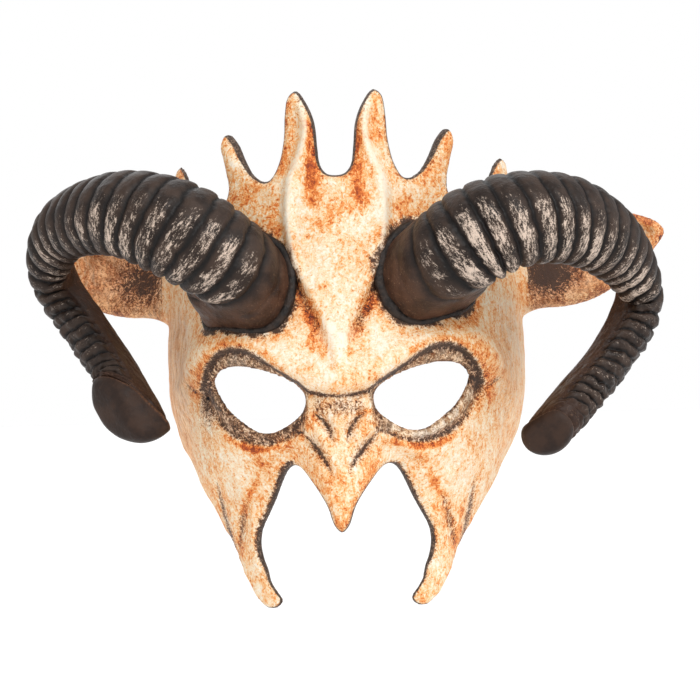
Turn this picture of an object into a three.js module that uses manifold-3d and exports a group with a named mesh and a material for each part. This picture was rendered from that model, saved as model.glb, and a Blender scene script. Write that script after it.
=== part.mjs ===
// A horned demon half mask, held on the head by a headband.
// Millimetres, +Z up. The face looks along -Y, X = 0 is the mirror plane of the face, the back rim of
// the shell is at Y = 0 and the eyes are at Z = 0. "left" is the -X side, as seen from the front.

import * as THREE from 'three';
import { mergeVertices } from 'three/addons/utils/BufferGeometryUtils.js';
import Module from 'manifold-3d';

const wasm = await Module();
wasm.setup();

// ---------------------------------------------------------------- driving dimensions

const GAP = 0.3; // between pieces that touch
const WALL = 3; // shell thickness over the face
const SPIKE_WALL = 6; // shell thickness at the spikes' tips

// Shell sections are half ellipses, each given by its height Z.
const HALF_WIDTH = [
  [-92, 33.5], [-80, 39.8], [-67, 46.4], [-48, 56], [-35, 64], [-22, 71], [-8, 75.3], [8, 77],
  [40, 76], [135, 74],
];
const RIM_Y = [
  [-92, -62], [-70, -50], [-50, -32], [-35, -16], [-20, -4], [-8, -0.6], [0, 0], [10, 0], [135, 0],
];
const FRONT_Y = [
  [-92, -70], [-60, -75], [-40, -79], [-20, -85], [0, -92], [20, -95], [40, -91], [60, -84],
  [80, -77], [100, -72], [135, -68],
];

// What stands out from those sections.
const NOSE_RISE = [
  [-62, 27], [-50, 26], [-40, 23], [-30, 19], [-20, 14.5], [-10, 10], [0, 6], [10, 3], [22, 0],
];
const NOSE_SPREAD = 24;
const SHIELD_RISE = 3.5;
const SHIELD_EDGE = [
  [12, 0], [25, 4.4], [34, 7.9], [47, 14.2], [58, 18.3], [70, 20.3], [81, 20.6], [91, 19.4],
  [102, 14.9], [111, 12.9], [127, 15],
];
const BROW_RISE = 5;
const BROW_LINE = [[0, 9], [12, 12], [30, 20], [46, 24], [58, 18], [70, 4]]; // height over |X|
const BROW_SPREAD = 9;
const CHEEK_RISE = 3;
const CHEEK = { x: 44, z: -24, wide: 26, high: 22 };
const RELIEF_FADE = [60, 74]; // distances from X = 0 between which all of it dies away
const CROWN_THICKENS = [85, 112]; // heights between which the wall grows to SPIKE_WALL

// Front outline of the right half, from the nose tip round to the crown, in X and Z.
const OUTLINE = [
  [0, -54.5], [2.9, -51.5], [6, -43], [12, -33.8], [17, -27.8], [19.5, -27], [22, -28.6], [24.6, -33],
  [27.6, -40], [31.2, -47.3], [34.2, -53.5], [35.1, -59], [34.4, -64.5], [32.4, -70.5], [31, -76],
  [28, -80.5], [26.4, -83.4], [28.8, -86.2], [33, -86.4], [38, -82.5], [46, -83], [92, -80], [92, 44],
  [80, 44], [74.4, 62], [72.2, 82], [70.9, 93], [69.6, 98.4], [67.6, 99.6], [65.4, 97.4], [61, 88],
  [55, 81], [49.5, 79.8], [45.6, 86], [46.4, 98], [47.4, 107], [45, 110.6], [41, 106], [37.6, 99],
  [33.5, 92.6], [28.6, 90.2], [24.6, 95], [21.4, 106], [20.2, 118], [18.8, 125.4], [15.6, 127.4],
  [12, 122], [9.2, 114], [8.2, 104], [6.6, 96], [3.4, 92.4], [0, 91.8],
];
const EYE_HOLE = [
  [14, 0.5], [15.8, 4], [20.3, 7.3], [28.7, 11.2], [37, 13.3], [44, 13.8], [49.5, 12.3], [52.6, 8],
  [51, 3], [47, -3.4], [40.8, -8.8], [34.5, -12.8], [30, -13.5], [25.5, -12.4], [19.6, -8.9], [15.2, -4.5],
];

// Horns: middle line, width across and the side that stays smooth, each from the foot to the end.
const HORNS = {
  left: {
    path: [
      [-33.5, -62, 37], [-38.5, -77, 44.5], [-47, -89.5, 56], [-62.8, -94, 69], [-81.9, -87, 76.5],
      [-99.5, -71, 77.4], [-115, -51, 72.5], [-122.6, -35, 60], [-119.8, -31, 47.7],
      [-110.9, -36, 35.4], [-102.7, -45, 24.5], [-94.4, -55, 12.9], [-90, -62, 6], [-86.5, -67, 0],
    ],
    width: [44, 43.5, 43, 41, 37, 31.5, 26, 22, 20, 19.5, 19.5, 19.5, 20, 20.5],
    smoothSide: [
      [0, 0.6, -1], [0.1, 0.5, -1], [0.2, 0.4, -1], [0.3, 0.4, -1], [0.3, 0.4, -1], [0.5, 0.5, -0.8],
      [0.8, 0.4, -0.5], [1, 0, 0], [0.9, -0.5, 0.3], [0.85, -0.6, 0.2], [0.85, -0.6, 0.2],
      [0.85, -0.6, 0.2], [0.85, -0.6, 0.2], [0.85, -0.6, 0.2],
    ],
    endFacing: [-0.5, -0.62, -0.6],
    capThick: 11,
  },
  right: {
    path: [
      [29.5, -62, 42.5], [38.5, -77.5, 48.5], [49, -89.5, 57], [60.5, -93, 65.5], [74.8, -91, 70.2],
      [93.2, -79, 70.4], [109.3, -61, 63.3], [120, -43, 52.5], [124.8, -32, 39.5], [121.8, -33, 29.4],
      [115.1, -40, 18.9], [106.8, -49, 8.5], [98.6, -57, 0], [91, -65, -8.5], [84.5, -71.5, -15.5],
    ],
    width: [44.5, 44, 43.5, 42, 39.5, 36.5, 31, 24.5, 20.5, 20.5, 20, 19.5, 19.5, 19.5, 19],
    smoothSide: [
      [0, 0.6, -1], [-0.1, 0.5, -1], [-0.2, 0.4, -1], [-0.3, 0.4, -1], [-0.3, 0.4, -1],
      [-0.5, 0.5, -0.8], [-0.8, 0.4, -0.5], [-1, 0, 0], [-0.9, -0.5, 0.3], [-0.85, -0.6, 0.2],
      [-0.85, -0.6, 0.2], [-0.85, -0.6, 0.2], [-0.85, -0.6, 0.2], [-0.85, -0.6, 0.2], [-0.85, -0.6, 0.2],
    ],
    endFacing: [-0.3, -0.85, -0.45],
    capThick: 7,
  },
};
const HORN_SIDES = 12;
const HORN_DEEPER = 1.12; // section's depth over its width
const RIB_PITCH = [10, 6]; // at the foot and at the end
const RIB_HEIGHT = 1.4;
const RIBS_FROM = 0.15; // share of the horn's length that stays smooth at its foot
const RIBS_TO = 0.95;
const END_TILTS_FROM = 0.82; // share of its length from which a horn's sections lean to its end plane
const FLAT_INSIDE = 0.74; // the smooth side's distance from the middle line, over half the width
const RIBS_ROUND = [1.7, 2.2]; // angles from the horn's back between which ribs die away
const COLLAR_WIDE = 5;
const COLLAR_HIGH = 2.6;
const COLLAR_REACH = 0.3; // share of the horn's length that the collar is cut from

// Horn screws, square to the forehead.
const SCREW_PLACE = { theta: THREE.MathUtils.degToRad(27), z: 46 };
const SCREW_RADIUS = 2.2;
const SCREW_HEAD_RADIUS = 4.5;
const SCREW_HEAD_HIGH = 2.4;
const SCREW_LENGTH = 20;
const WASHER_RADIUS = 6;
const SEAT_DEPTH = 0.8; // flat sunk into the inner skin for the washer
const WASHER_THICK = 1.2;

// Ears, as a leaf seen from the front, with its root inside the temple.
const EAR_OUTLINE = [
  [66, 36], [76, 33.5], [84, 35.4], [96, 36.2], [107, 39], [117, 44.5], [128, 54], [136, 62.5],
  [138.6, 67.5], [136, 71.5], [126, 75.5], [106, 78], [88, 74], [76, 66], [66, 60],
];
const EAR_Y = [[66, -16], [80, -7], [100, -1], [120, 2], [140, 3]]; // middle of the leaf over X
const EAR_HOLLOW = 5;
const EAR_SHEET = { x0: 62, x1: 142, z0: 30, z1: 82 }; // sheet that the leaf is cut from
const CONCHA = { x: 104, z: 57, wide: 34, high: 17 };
const EAR_WALL = 4;

// Pads.
const BROW_PAD = { halfWidth: 25, z0: 36, z1: 62, backY: -72 };
const CHEEK_PAD = { theta0: 55, theta1: 76, z0: -14, z1: 20, thick: 7 };

// Headband, its tabs, rivets and adjuster.
const PIVOT = { y: 10, z: 38 };
const TAB = { y0: -22, y1: 19, thick: 1.6, halfHigh: 9 };
const BAND = { thick: 1.4, halfHigh: 9.5, backY: 74, straight: 38, tail: 6, turnsAt: 10 };
const BAND_ROUND = 0.6; // how far its turns reach to their corners
const RIVET_RADIUS = 2;
const RIVET_HEAD_RADIUS = 4.5;
const RIVET_HEAD_HIGH = 1.4;
const ADJUSTER = { wide: 26, thick: 4.6, halfHigh: 13.5, bar: 3.2 };

const PAINT = {
  bone: { color: 0xe3bd92, roughness: 0.62, metalness: 0 },
  horn: { color: 0x2e2826, roughness: 0.5, metalness: 0 },
  hornCap: { color: 0x352b28, roughness: 0.45, metalness: 0 },
  collar: { color: 0x1e1a19, roughness: 0.4, metalness: 0 },
  foam: { color: 0x2b2b2d, roughness: 0.95, metalness: 0 },
  webbing: { color: 0x19191b, roughness: 0.85, metalness: 0 },
  steel: { color: 0xb8b8b4, roughness: 0.35, metalness: 1 },
  plastic: { color: 0x151515, roughness: 0.4, metalness: 0 },
};

// ---------------------------------------------------------------- small tools

// A smooth value through a few [position, value] stations, flat beyond the first and the last.
function through(stations) {
  const slope = (i) => {
    const a = stations[Math.max(i - 1, 0)];
    const b = stations[Math.min(i + 1, stations.length - 1)];
    return (b[1] - a[1]) / (b[0] - a[0]);
  };
  return (at) => {
    const last = stations.length - 1;
    if (at <= stations[0][0]) return stations[0][1];
    if (at >= stations[last][0]) return stations[last][1];
    const i = stations.findIndex((s, k) => k < last && at < stations[k + 1][0]);
    const [x0, y0] = stations[i];
    const [x1, y1] = stations[i + 1];
    const h = x1 - x0;
    const t = (at - x0) / h;
    return (
      y0 * (2 * t ** 3 - 3 * t ** 2 + 1) +
      slope(i) * h * (t ** 3 - 2 * t ** 2 + t) +
      y1 * (3 * t ** 2 - 2 * t ** 3) +
      slope(i + 1) * h * (t ** 3 - t ** 2)
    );
  };
}

// Values at evenly spaced stations.
function along(values) {
  return through(values.map((v, i) => [i / (values.length - 1), v]));
}

function hill(t) {
  return Math.abs(t) < 1 ? 0.5 + 0.5 * Math.cos(Math.PI * t) : 0;
}

// The same surface with only its places kept, and shared corners merged.
function bare(geometry) {
  const copy = geometry.clone();
  copy.deleteAttribute('normal');
  copy.deleteAttribute('uv');
  return mergeVertices(copy, 1e-4);
}

function solid(geometry) {
  const merged = bare(geometry);
  const vertProperties = new Float32Array(merged.attributes.position.array);
  const triVerts = new Uint32Array(merged.index.array);
  return new wasm.Manifold(new wasm.Mesh({ numProp: 3, vertProperties, triVerts }));
}

function geometryOf(manifold) {
  const mesh = manifold.getMesh();
  const geometry = new THREE.BufferGeometry();
  geometry.setAttribute('position', new THREE.BufferAttribute(new Float32Array(mesh.vertProperties), 3));
  geometry.setIndex(Array.from(mesh.triVerts));
  geometry.computeVertexNormals();
  return geometry;
}

// Closed skin over rings of points, each ring with the same count; its ends are closed by fans.
function loft(rings) {
  const points = rings.flat();
  const count = rings[0].length;
  const index = [];
  for (let r = 0; r < rings.length - 1; r++) {
    for (let k = 0; k < count; k++) {
      const a = r * count + k;
      const b = r * count + ((k + 1) % count);
      index.push(a, b, b + count, a, b + count, a + count);
    }
  }
  for (const [first, flip] of [[0, false], [(rings.length - 1) * count, true]]) {
    const middle = new THREE.Vector3();
    for (let k = 0; k < count; k++) middle.add(points[first + k]);
    points.push(middle.divideScalar(count));
    const hub = points.length - 1;
    for (let k = 0; k < count; k++) {
      const a = first + k;
      const b = first + ((k + 1) % count);
      index.push(...(flip ? [a, b, hub] : [b, a, hub]));
    }
  }
  return new THREE.BufferGeometry().setFromPoints(points).setIndex(index);
}

// Closed plate between two skins given on the same grid. front(u, v) and back(u, v) run over 0..1.
// Seen along the way from front to back, u grows to the right and v grows up.
function plate(columns, rows, front, back) {
  const points = [];
  for (const skin of [front, back]) {
    for (let j = 0; j <= rows; j++) {
      for (let i = 0; i <= columns; i++) points.push(skin(i / columns, j / rows));
    }
  }
  const half = (columns + 1) * (rows + 1);
  const at = (i, j, behind) => j * (columns + 1) + i + (behind ? half : 0);
  const index = [];
  const quad = (a, b, c, d) => index.push(a, b, c, a, c, d);
  for (let j = 0; j < rows; j++) {
    for (let i = 0; i < columns; i++) {
      quad(at(i, j), at(i + 1, j), at(i + 1, j + 1), at(i, j + 1));
      quad(at(i, j, 1), at(i, j + 1, 1), at(i + 1, j + 1, 1), at(i + 1, j, 1));
    }
    quad(at(0, j), at(0, j + 1), at(0, j + 1, 1), at(0, j, 1));
    quad(at(columns, j), at(columns, j, 1), at(columns, j + 1, 1), at(columns, j + 1));
  }
  for (let i = 0; i < columns; i++) {
    quad(at(i, 0), at(i, 0, 1), at(i + 1, 0, 1), at(i + 1, 0));
    quad(at(i, rows), at(i + 1, rows), at(i + 1, rows, 1), at(i, rows, 1));
  }
  return new THREE.BufferGeometry().setFromPoints(points).setIndex(index);
}

// Prism along Y over a closed outline in X and Z.
function prismAlongY(outline, y0, y1) {
  const shape = new THREE.Shape(outline.map(([x, z]) => new THREE.Vector2(x, z)));
  const geometry = new THREE.ExtrudeGeometry(shape, { depth: y1 - y0, bevelEnabled: false });
  return geometry.rotateX(Math.PI / 2).translate(0, y1, 0);
}

function smoothOutline(points, count, closed) {
  const places = points.map(([x, z]) => new THREE.Vector3(x, 0, z));
  const curve = new THREE.CatmullRomCurve3(places, closed, 'centripetal');
  return curve.getPoints(count).map((p) => [p.x, p.z]);
}

function mirrored(geometry) {
  const copy = bare(geometry).scale(-1, 1, 1);
  const index = copy.index.array;
  for (let i = 0; i < index.length; i += 3) [index[i + 1], index[i + 2]] = [index[i + 2], index[i + 1]];
  return copy;
}

// A solid made for the right side, taken to the side named.
function onSide(side, made) {
  return side === 'right' ? made : solid(mirrored(geometryOf(made)));
}

function box(x0, x1, y0, y1, z0, z1) {
  const made = new THREE.BoxGeometry(x1 - x0, y1 - y0, z1 - z0);
  return made.translate((x0 + x1) / 2, (y0 + y1) / 2, (z0 + z1) / 2);
}

const group = new THREE.Group();
function add(name, geometry, paint) {
  const mesh = new THREE.Mesh(geometry, new THREE.MeshStandardMaterial(PAINT[paint]));
  mesh.name = name;
  group.add(mesh);
}

// ---------------------------------------------------------------- face shell

const halfWidth = through(HALF_WIDTH);
const rimY = through(RIM_Y);
const frontY = through(FRONT_Y);
const noseRise = through(NOSE_RISE);
const shieldEdge = through(SHIELD_EDGE);
const browLine = through(BROW_LINE);

// How far the outer skin stands out of the plain section.
function relief(x, z) {
  const side = Math.abs(x);
  const fade = 1 - THREE.MathUtils.smoothstep(side, ...RELIEF_FADE);
  const nose = noseRise(z) * hill(x / NOSE_SPREAD);
  const brow = BROW_RISE * Math.exp(-(((z - browLine(side)) / BROW_SPREAD) ** 2));
  const inShield = z > SHIELD_EDGE[0][0] ? THREE.MathUtils.smoothstep(shieldEdge(z) - side, -3, 3) : 0;
  const cheek = CHEEK_RISE * hill((side - CHEEK.x) / CHEEK.wide) * hill((z - CHEEK.z) / CHEEK.high);
  return fade * (nose + brow + SHIELD_RISE * inShield + cheek);
}

// Point of the shell at an angle round the face and a height, stood off sideways from the section.
function onShell(theta, z, off) {
  const w = halfWidth(z);
  const rim = rimY(z);
  const deep = rim - frontY(z);
  const normal = new THREE.Vector2(Math.sin(theta) / w, -Math.cos(theta) / deep).normalize();
  const x = w * Math.sin(theta) + off * normal.x;
  const y = rim - deep * Math.cos(theta) + off * normal.y;
  return new THREE.Vector3(x, y, z);
}

const outerOff = (theta, z) => relief(halfWidth(z) * Math.sin(theta), z);
const wall = (z) => THREE.MathUtils.lerp(WALL, SPIKE_WALL, THREE.MathUtils.smoothstep(z, ...CROWN_THICKENS));
const innerOff = (theta, z) => 0.75 * outerOff(theta, z) - wall(z);

// Slab that follows the shell between two stand-off functions.
function shellSlab(columns, rows, z0, z1, theta0, theta1, outer, inner) {
  const skin = (off) => (u, v) => {
    const theta = THREE.MathUtils.lerp(theta0, theta1, u);
    const z = THREE.MathUtils.lerp(z0, z1, v);
    return onShell(theta, z, off(theta, z));
  };
  return solid(plate(columns, rows, skin(outer), skin(inner)));
}

const SHELL_GRID = [34, 32]; // facets round the face and up it
const CHIN_Z = -90;
const CROWN_Z = 130;
const QUARTER = Math.PI / 2;
const FILL_DEPTH = 30; // how far behind the section the filled shell reaches
const CUT_FRONT_Y = -160; // cuts along Y run from well before the nose
const CUT_BACK_Y = 60; // to well behind the rim
const OUTLINE_STEPS = 116;
const EYE_STEPS = 32;

// The shell grown outwards and filled behind, to cut what stands on it.
function filledShell(grow) {
  return shellSlab(
    SHELL_GRID[0], SHELL_GRID[1], CHIN_Z, CROWN_Z, -QUARTER, QUARTER,
    (theta, z) => outerOff(theta, z) + grow,
    () => -FILL_DEPTH,
  );
}

const shellPlug = filledShell(GAP);

// The shell's wall with the gap behind it, to cut what lies against its inside.
const wallAndGap = shellSlab(
  SHELL_GRID[0], SHELL_GRID[1], CHIN_Z, CROWN_Z, -QUARTER, QUARTER,
  (theta, z) => outerOff(theta, z) + WALL,
  (theta, z) => innerOff(theta, z) - GAP,
);

const onInside = (theta, z) => onShell(theta, z, innerOff(theta, z));

// Outward direction of the inner skin, from its slopes each way over the washer's reach.
function squareToInside(theta, z) {
  const turn = WASHER_RADIUS / halfWidth(z);
  const round = onInside(theta + turn, z).sub(onInside(theta - turn, z));
  const up = onInside(theta, z + WASHER_RADIUS).sub(onInside(theta, z - WASHER_RADIUS));
  return round.cross(up).normalize();
}

const screwAxis = squareToInside(SCREW_PLACE.theta, SCREW_PLACE.z);
const screwFoot = onInside(SCREW_PLACE.theta, SCREW_PLACE.z).addScaledVector(screwAxis, SEAT_DEPTH);

// Turned piece on a screw's axis; a profile's second number counts outwards from the washer's seat.
function turnedOnScrew(profile, segments, side) {
  const turned = new THREE.LatheGeometry(profile.map(([r, h]) => new THREE.Vector2(r, h)), segments);
  turned.applyQuaternion(new THREE.Quaternion().setFromUnitVectors(new THREE.Vector3(0, 1, 0), screwAxis));
  turned.translate(screwFoot.x, screwFoot.y, screwFoot.z);
  return side === 'right' ? turned : mirrored(turned);
}

function rod(radius, from, to) {
  return [[0, from], [radius, from], [radius, to], [0, to]];
}

function faceShell() {
  const half = smoothOutline(OUTLINE, OUTLINE_STEPS, false);
  const outline = half.concat(half.slice(1, -1).reverse().map(([x, z]) => [-x, z]));
  let shell = shellSlab(SHELL_GRID[0], SHELL_GRID[1], CHIN_Z, CROWN_Z, -QUARTER, QUARTER, outerOff, innerOff);
  shell = shell.intersect(solid(prismAlongY(outline, CUT_FRONT_Y, CUT_BACK_Y)));
  const eyeOutline = smoothOutline(EYE_HOLE, EYE_STEPS, true).slice(0, -1);
  const eye = solid(prismAlongY(eyeOutline, CUT_FRONT_Y, CUT_BACK_Y));
  const holes = [eye, onSide('left', eye)];
  for (const side of ['left', 'right']) {
    holes.push(solid(turnedOnScrew(rod(SCREW_RADIUS + GAP, -10, 15), 16, side)));
    holes.push(solid(turnedOnScrew(rod(WASHER_RADIUS + GAP, -10, 0), 24, side)));
  }
  for (const hole of holes) shell = shell.subtract(hole);
  return geometryOf(shell);
}

add('face_shell', faceShell(), 'bone');

// ---------------------------------------------------------------- horns

function hornCurve(horn) {
  return new THREE.CatmullRomCurve3(horn.path.map((p) => new THREE.Vector3(...p)), false, 'centripetal');
}

// Everything about a horn at a share t of its length.
function hornSpine(horn) {
  const curve = hornCurve(horn);
  const width = along(horn.width);
  const smooth = [0, 1, 2].map((axis) => along(horn.smoothSide.map((s) => s[axis])));
  return (t) => {
    const tangent = curve.getTangent(t).normalize();
    const inward = new THREE.Vector3(smooth[0](t), smooth[1](t), smooth[2](t));
    inward.addScaledVector(tangent, -inward.dot(tangent)).normalize();
    const across = tangent.clone().cross(inward);
    return { middle: curve.getPoint(t), tangent, inward, across, half: width(t) / 2 };
  };
}

// Shares of the length at which ribs have their crests and grooves, by turns.
function ribStations(horn) {
  const curve = hornCurve(horn);
  const stations = [0, RIBS_FROM * 0.5];
  let t = RIBS_FROM;
  while (t < RIBS_TO) {
    stations.push(t);
    const step = curve.getPoint(t).distanceTo(curve.getPoint(t + 0.005)) / 0.005;
    t += THREE.MathUtils.lerp(RIB_PITCH[0], RIB_PITCH[1], t) / 2 / step;
  }
  stations.push(1);
  return stations;
}

function hornRing(spine, t, grow, lift, facing) {
  const { middle, tangent, inward, across, half } = spine(t);
  const tilt = THREE.MathUtils.smoothstep(t, END_TILTS_FROM, 1);
  const plane = tangent.clone().lerp(facing, tilt).normalize();
  const ring = [];
  for (let k = 0; k < HORN_SIDES; k++) {
    const angle = (2 * Math.PI * k) / HORN_SIDES;
    const ribbed = 1 - THREE.MathUtils.smoothstep(Math.abs(Math.PI - angle), ...RIBS_ROUND);
    const flat = Math.min(1, FLAT_INSIDE / Math.max(Math.cos(angle), 0.01));
    const out = half * flat + lift * ribbed + grow;
    const point = middle.clone();
    point.addScaledVector(inward, out * Math.cos(angle));
    point.addScaledVector(across, out * Math.sin(angle) * THREE.MathUtils.lerp(1, HORN_DEEPER, t));
    const away = point.clone().sub(middle).dot(plane) / tangent.dot(plane);
    ring.push(point.addScaledVector(tangent, -away));
  }
  return ring;
}

// A horn's solid up to a share of its length, grown all round.
function hornBody(horn, grow, ribHeight, until) {
  const spine = hornSpine(horn);
  const facing = new THREE.Vector3(...horn.endFacing).normalize();
  const rings = ribStations(horn).filter((t) => t <= until).map((t, i) => {
    const lift = t < RIBS_FROM || t === 1 ? 0 : ribHeight * (i % 2 ? 0.5 : -0.5);
    return hornRing(spine, t, grow, lift, facing);
  });
  return solid(loft(rings));
}

function hornCap(horn) {
  const spine = hornSpine(horn);
  const facing = new THREE.Vector3(...horn.endFacing).normalize();
  const last = hornRing(spine, 1, 0, 0, facing);
  const middle = new THREE.Vector3();
  for (const p of last) middle.addScaledVector(p, 1 / last.length);
  const thick = horn.capThick;
  const domes = [[GAP, 0.98], [1.4, 1.04], [thick * 0.55, 1.03], [thick * 0.85, 0.86], [thick, 0.55]];
  const rings = domes.map(([out, scale]) => last.map((p) => (
    p.clone().sub(middle).multiplyScalar(scale).add(middle).addScaledVector(facing, out)
  )));
  return solid(loft(rings));
}

for (const [side, horn] of Object.entries(HORNS)) {
  const bore = solid(turnedOnScrew(rod(SCREW_RADIUS + GAP, 0, SCREW_LENGTH + 1), 12, side));
  const body = hornBody(horn, 0, RIB_HEIGHT, 1).subtract(shellPlug).subtract(bore);
  add(`horn_${side}`, geometryOf(body), 'horn');
  add(`horn_cap_${side}`, geometryOf(hornCap(horn)), 'hornCap');
  const band = filledShell(GAP + COLLAR_WIDE).subtract(shellPlug);
  const outside = hornBody(horn, COLLAR_HIGH, 0, COLLAR_REACH);
  const inside = hornBody(horn, GAP, 0, COLLAR_REACH + 0.1);
  const collar = outside.intersect(band).subtract(inside);
  add(`horn_collar_${side}`, geometryOf(collar), 'collar');
}

// ---------------------------------------------------------------- horn screws and washers

for (const side of ['left', 'right']) {
  const washer = [
    [SCREW_RADIUS + GAP, -GAP - WASHER_THICK], [WASHER_RADIUS, -GAP - WASHER_THICK],
    [WASHER_RADIUS, -GAP], [SCREW_RADIUS + GAP, -GAP], [SCREW_RADIUS + GAP, -GAP - WASHER_THICK],
  ];
  const under = -2 * GAP - WASHER_THICK;
  const screw = [
    [0, under - SCREW_HEAD_HIGH], [SCREW_HEAD_RADIUS * 0.7, under - SCREW_HEAD_HIGH],
    [SCREW_HEAD_RADIUS, under - SCREW_HEAD_HIGH * 0.4], [SCREW_HEAD_RADIUS, under],
    [SCREW_RADIUS, under], [SCREW_RADIUS, SCREW_LENGTH - 4], [0, SCREW_LENGTH],
  ];
  add(`horn_washer_${side}`, geometryOf(solid(turnedOnScrew(washer, 20, side))), 'steel');
  add(`horn_screw_${side}`, geometryOf(solid(turnedOnScrew(screw, 16, side))), 'steel');
}

// ---------------------------------------------------------------- ears

function ear(side) {
  const earY = through(EAR_Y);
  const skin = (off) => (u, v) => {
    const x = THREE.MathUtils.lerp(EAR_SHEET.x0, EAR_SHEET.x1, u);
    const z = THREE.MathUtils.lerp(EAR_SHEET.z0, EAR_SHEET.z1, v);
    const hollow = EAR_HOLLOW * hill((x - CONCHA.x) / CONCHA.wide) * hill((z - CONCHA.z) / CONCHA.high);
    return new THREE.Vector3(x, earY(x) + hollow + off, z);
  };
  const leaf = solid(plate(11, 7, skin(-EAR_WALL / 2), skin(EAR_WALL / 2)));
  const outline = smoothOutline(EAR_OUTLINE, 30, true).slice(0, -1);
  const cut = leaf.intersect(solid(prismAlongY(outline, -CUT_BACK_Y, CUT_BACK_Y)));
  return geometryOf(onSide(side, cut).subtract(shellPlug));
}

add('ear_left', ear('left'), 'bone');
add('ear_right', ear('right'), 'bone');

// ---------------------------------------------------------------- pads

function browPad() {
  const { halfWidth: w, z0, z1, backY } = BROW_PAD;
  const behind = (x, z) => {
    const theta = Math.asin(x / halfWidth(z));
    return onShell(theta, z, innerOff(theta, z) + 1).y;
  };
  const place = (u, v) => [THREE.MathUtils.lerp(-w, w, u), THREE.MathUtils.lerp(z0, z1, v)];
  const front = (u, v) => {
    const [x, z] = place(u, v);
    return new THREE.Vector3(x, behind(x, z), z);
  };
  const back = (u, v) => {
    const [x, z] = place(u, v);
    return new THREE.Vector3(x, backY, z);
  };
  return geometryOf(solid(plate(10, 5, front, back)).subtract(wallAndGap));
}

function cheekPad(side) {
  const { theta0, theta1, z0, z1, thick } = CHEEK_PAD;
  const pad = shellSlab(
    6, 5, z0, z1, THREE.MathUtils.degToRad(theta0), THREE.MathUtils.degToRad(theta1),
    (theta, z) => innerOff(theta, z) + 1,
    (theta, z) => innerOff(theta, z) - thick,
  );
  return geometryOf(onSide(side, pad).subtract(wallAndGap));
}

add('brow_pad', browPad(), 'foam');
add('cheek_pad_left', cheekPad('left'), 'foam');
add('cheek_pad_right', cheekPad('right'), 'foam');

// ---------------------------------------------------------------- strap tabs, headband, rivets, adjuster

const TAB_OUT_X = halfWidth(PIVOT.z) - WALL - 2 * GAP; // outer side of the tab where it leaves the shell
const TAB_IN_X = TAB_OUT_X - TAB.thick;
const BAND_OUT_X = TAB_IN_X - GAP;
const BAND_IN_X = BAND_OUT_X - BAND.thick;

// Bar along X through both the tab and the band.
function rodAlongX(profile, segments) {
  const turned = new THREE.LatheGeometry(profile.map(([r, h]) => new THREE.Vector2(r, h)), segments);
  return turned.rotateZ(-Math.PI / 2).translate(0, PIVOT.y, PIVOT.z);
}

function pivotHole() {
  return solid(rodAlongX(rod(RIVET_RADIUS + GAP, BAND_IN_X - 5, TAB_OUT_X + 5), 16));
}

function strapTab(side) {
  const lengthwise = (v) => THREE.MathUtils.lerp(TAB.y0, TAB.y1, v);
  const outside = (y, z) => {
    if (y > -1) return TAB_OUT_X;
    const theta = Math.acos((rimY(z) - y) / (rimY(z) - frontY(z)));
    return Math.min(TAB_OUT_X, (halfWidth(z) - WALL - GAP) * Math.sin(theta) - GAP);
  };
  const skin = (depth) => (u, v) => {
    const y = lengthwise(u);
    const taper = 1 - 0.25 * THREE.MathUtils.smoothstep(u, 0.85, 1) ** 2;
    const z = PIVOT.z + (2 * v - 1) * TAB.halfHigh * taper;
    return new THREE.Vector3(outside(y, PIVOT.z) - depth, y, z);
  };
  const tab = solid(plate(10, 1, skin(0), skin(TAB.thick))).subtract(pivotHole());
  return geometryOf(onSide(side, tab).subtract(wallAndGap));
}

// Middle line of the headband seen from above, from the right end round the back to the left end.
function bandPath() {
  const middleX = (BAND_OUT_X + BAND_IN_X) / 2;
  const path = new THREE.CurvePath();
  const corner = new THREE.Vector2(middleX, BAND.backY);
  const from = new THREE.Vector2(middleX, PIVOT.y + BAND.turnsAt);
  const to = new THREE.Vector2(BAND.straight, BAND.backY);
  path.add(new THREE.LineCurve(new THREE.Vector2(middleX, PIVOT.y - BAND.tail), from));
  const bend = (a, round, b) => new THREE.CubicBezierCurve(
    a, a.clone().lerp(round, BAND_ROUND), b.clone().lerp(round, BAND_ROUND), b,
  );
  path.add(bend(from, corner, to));
  path.add(new THREE.LineCurve(to, new THREE.Vector2(-BAND.straight, BAND.backY)));
  const [toLeft, fromLeft] = [to, from].map((p) => new THREE.Vector2(-p.x, p.y));
  const cornerLeft = new THREE.Vector2(-middleX, BAND.backY);
  path.add(bend(toLeft, cornerLeft, fromLeft));
  path.add(new THREE.LineCurve(fromLeft, new THREE.Vector2(-middleX, PIVOT.y - BAND.tail)));
  return path;
}

function headband() {
  const path = bandPath();
  const station = (curve, t) => ({ at: curve.getPoint(t), tangent: curve.getTangent(t) });
  const steps = path.curves.flatMap((curve, i) => {
    const count = i % 2 ? 9 : 2;
    return Array.from({ length: count }, (_, k) => station(curve, k / count));
  });
  steps.push(station(path.curves[path.curves.length - 1], 1));
  const skin = (side) => (u, v) => {
    const { at, tangent } = steps[Math.round(u * (steps.length - 1))];
    const off = (side * BAND.thick) / 2;
    const x = at.x + off * tangent.y;
    const y = at.y - off * tangent.x;
    return new THREE.Vector3(x, y, PIVOT.z + (2 * v - 1) * BAND.halfHigh);
  };
  const band = solid(plate(steps.length - 1, 1, skin(1), skin(-1)));
  return geometryOf(band.subtract(pivotHole()).subtract(onSide('left', pivotHole())));
}

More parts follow.
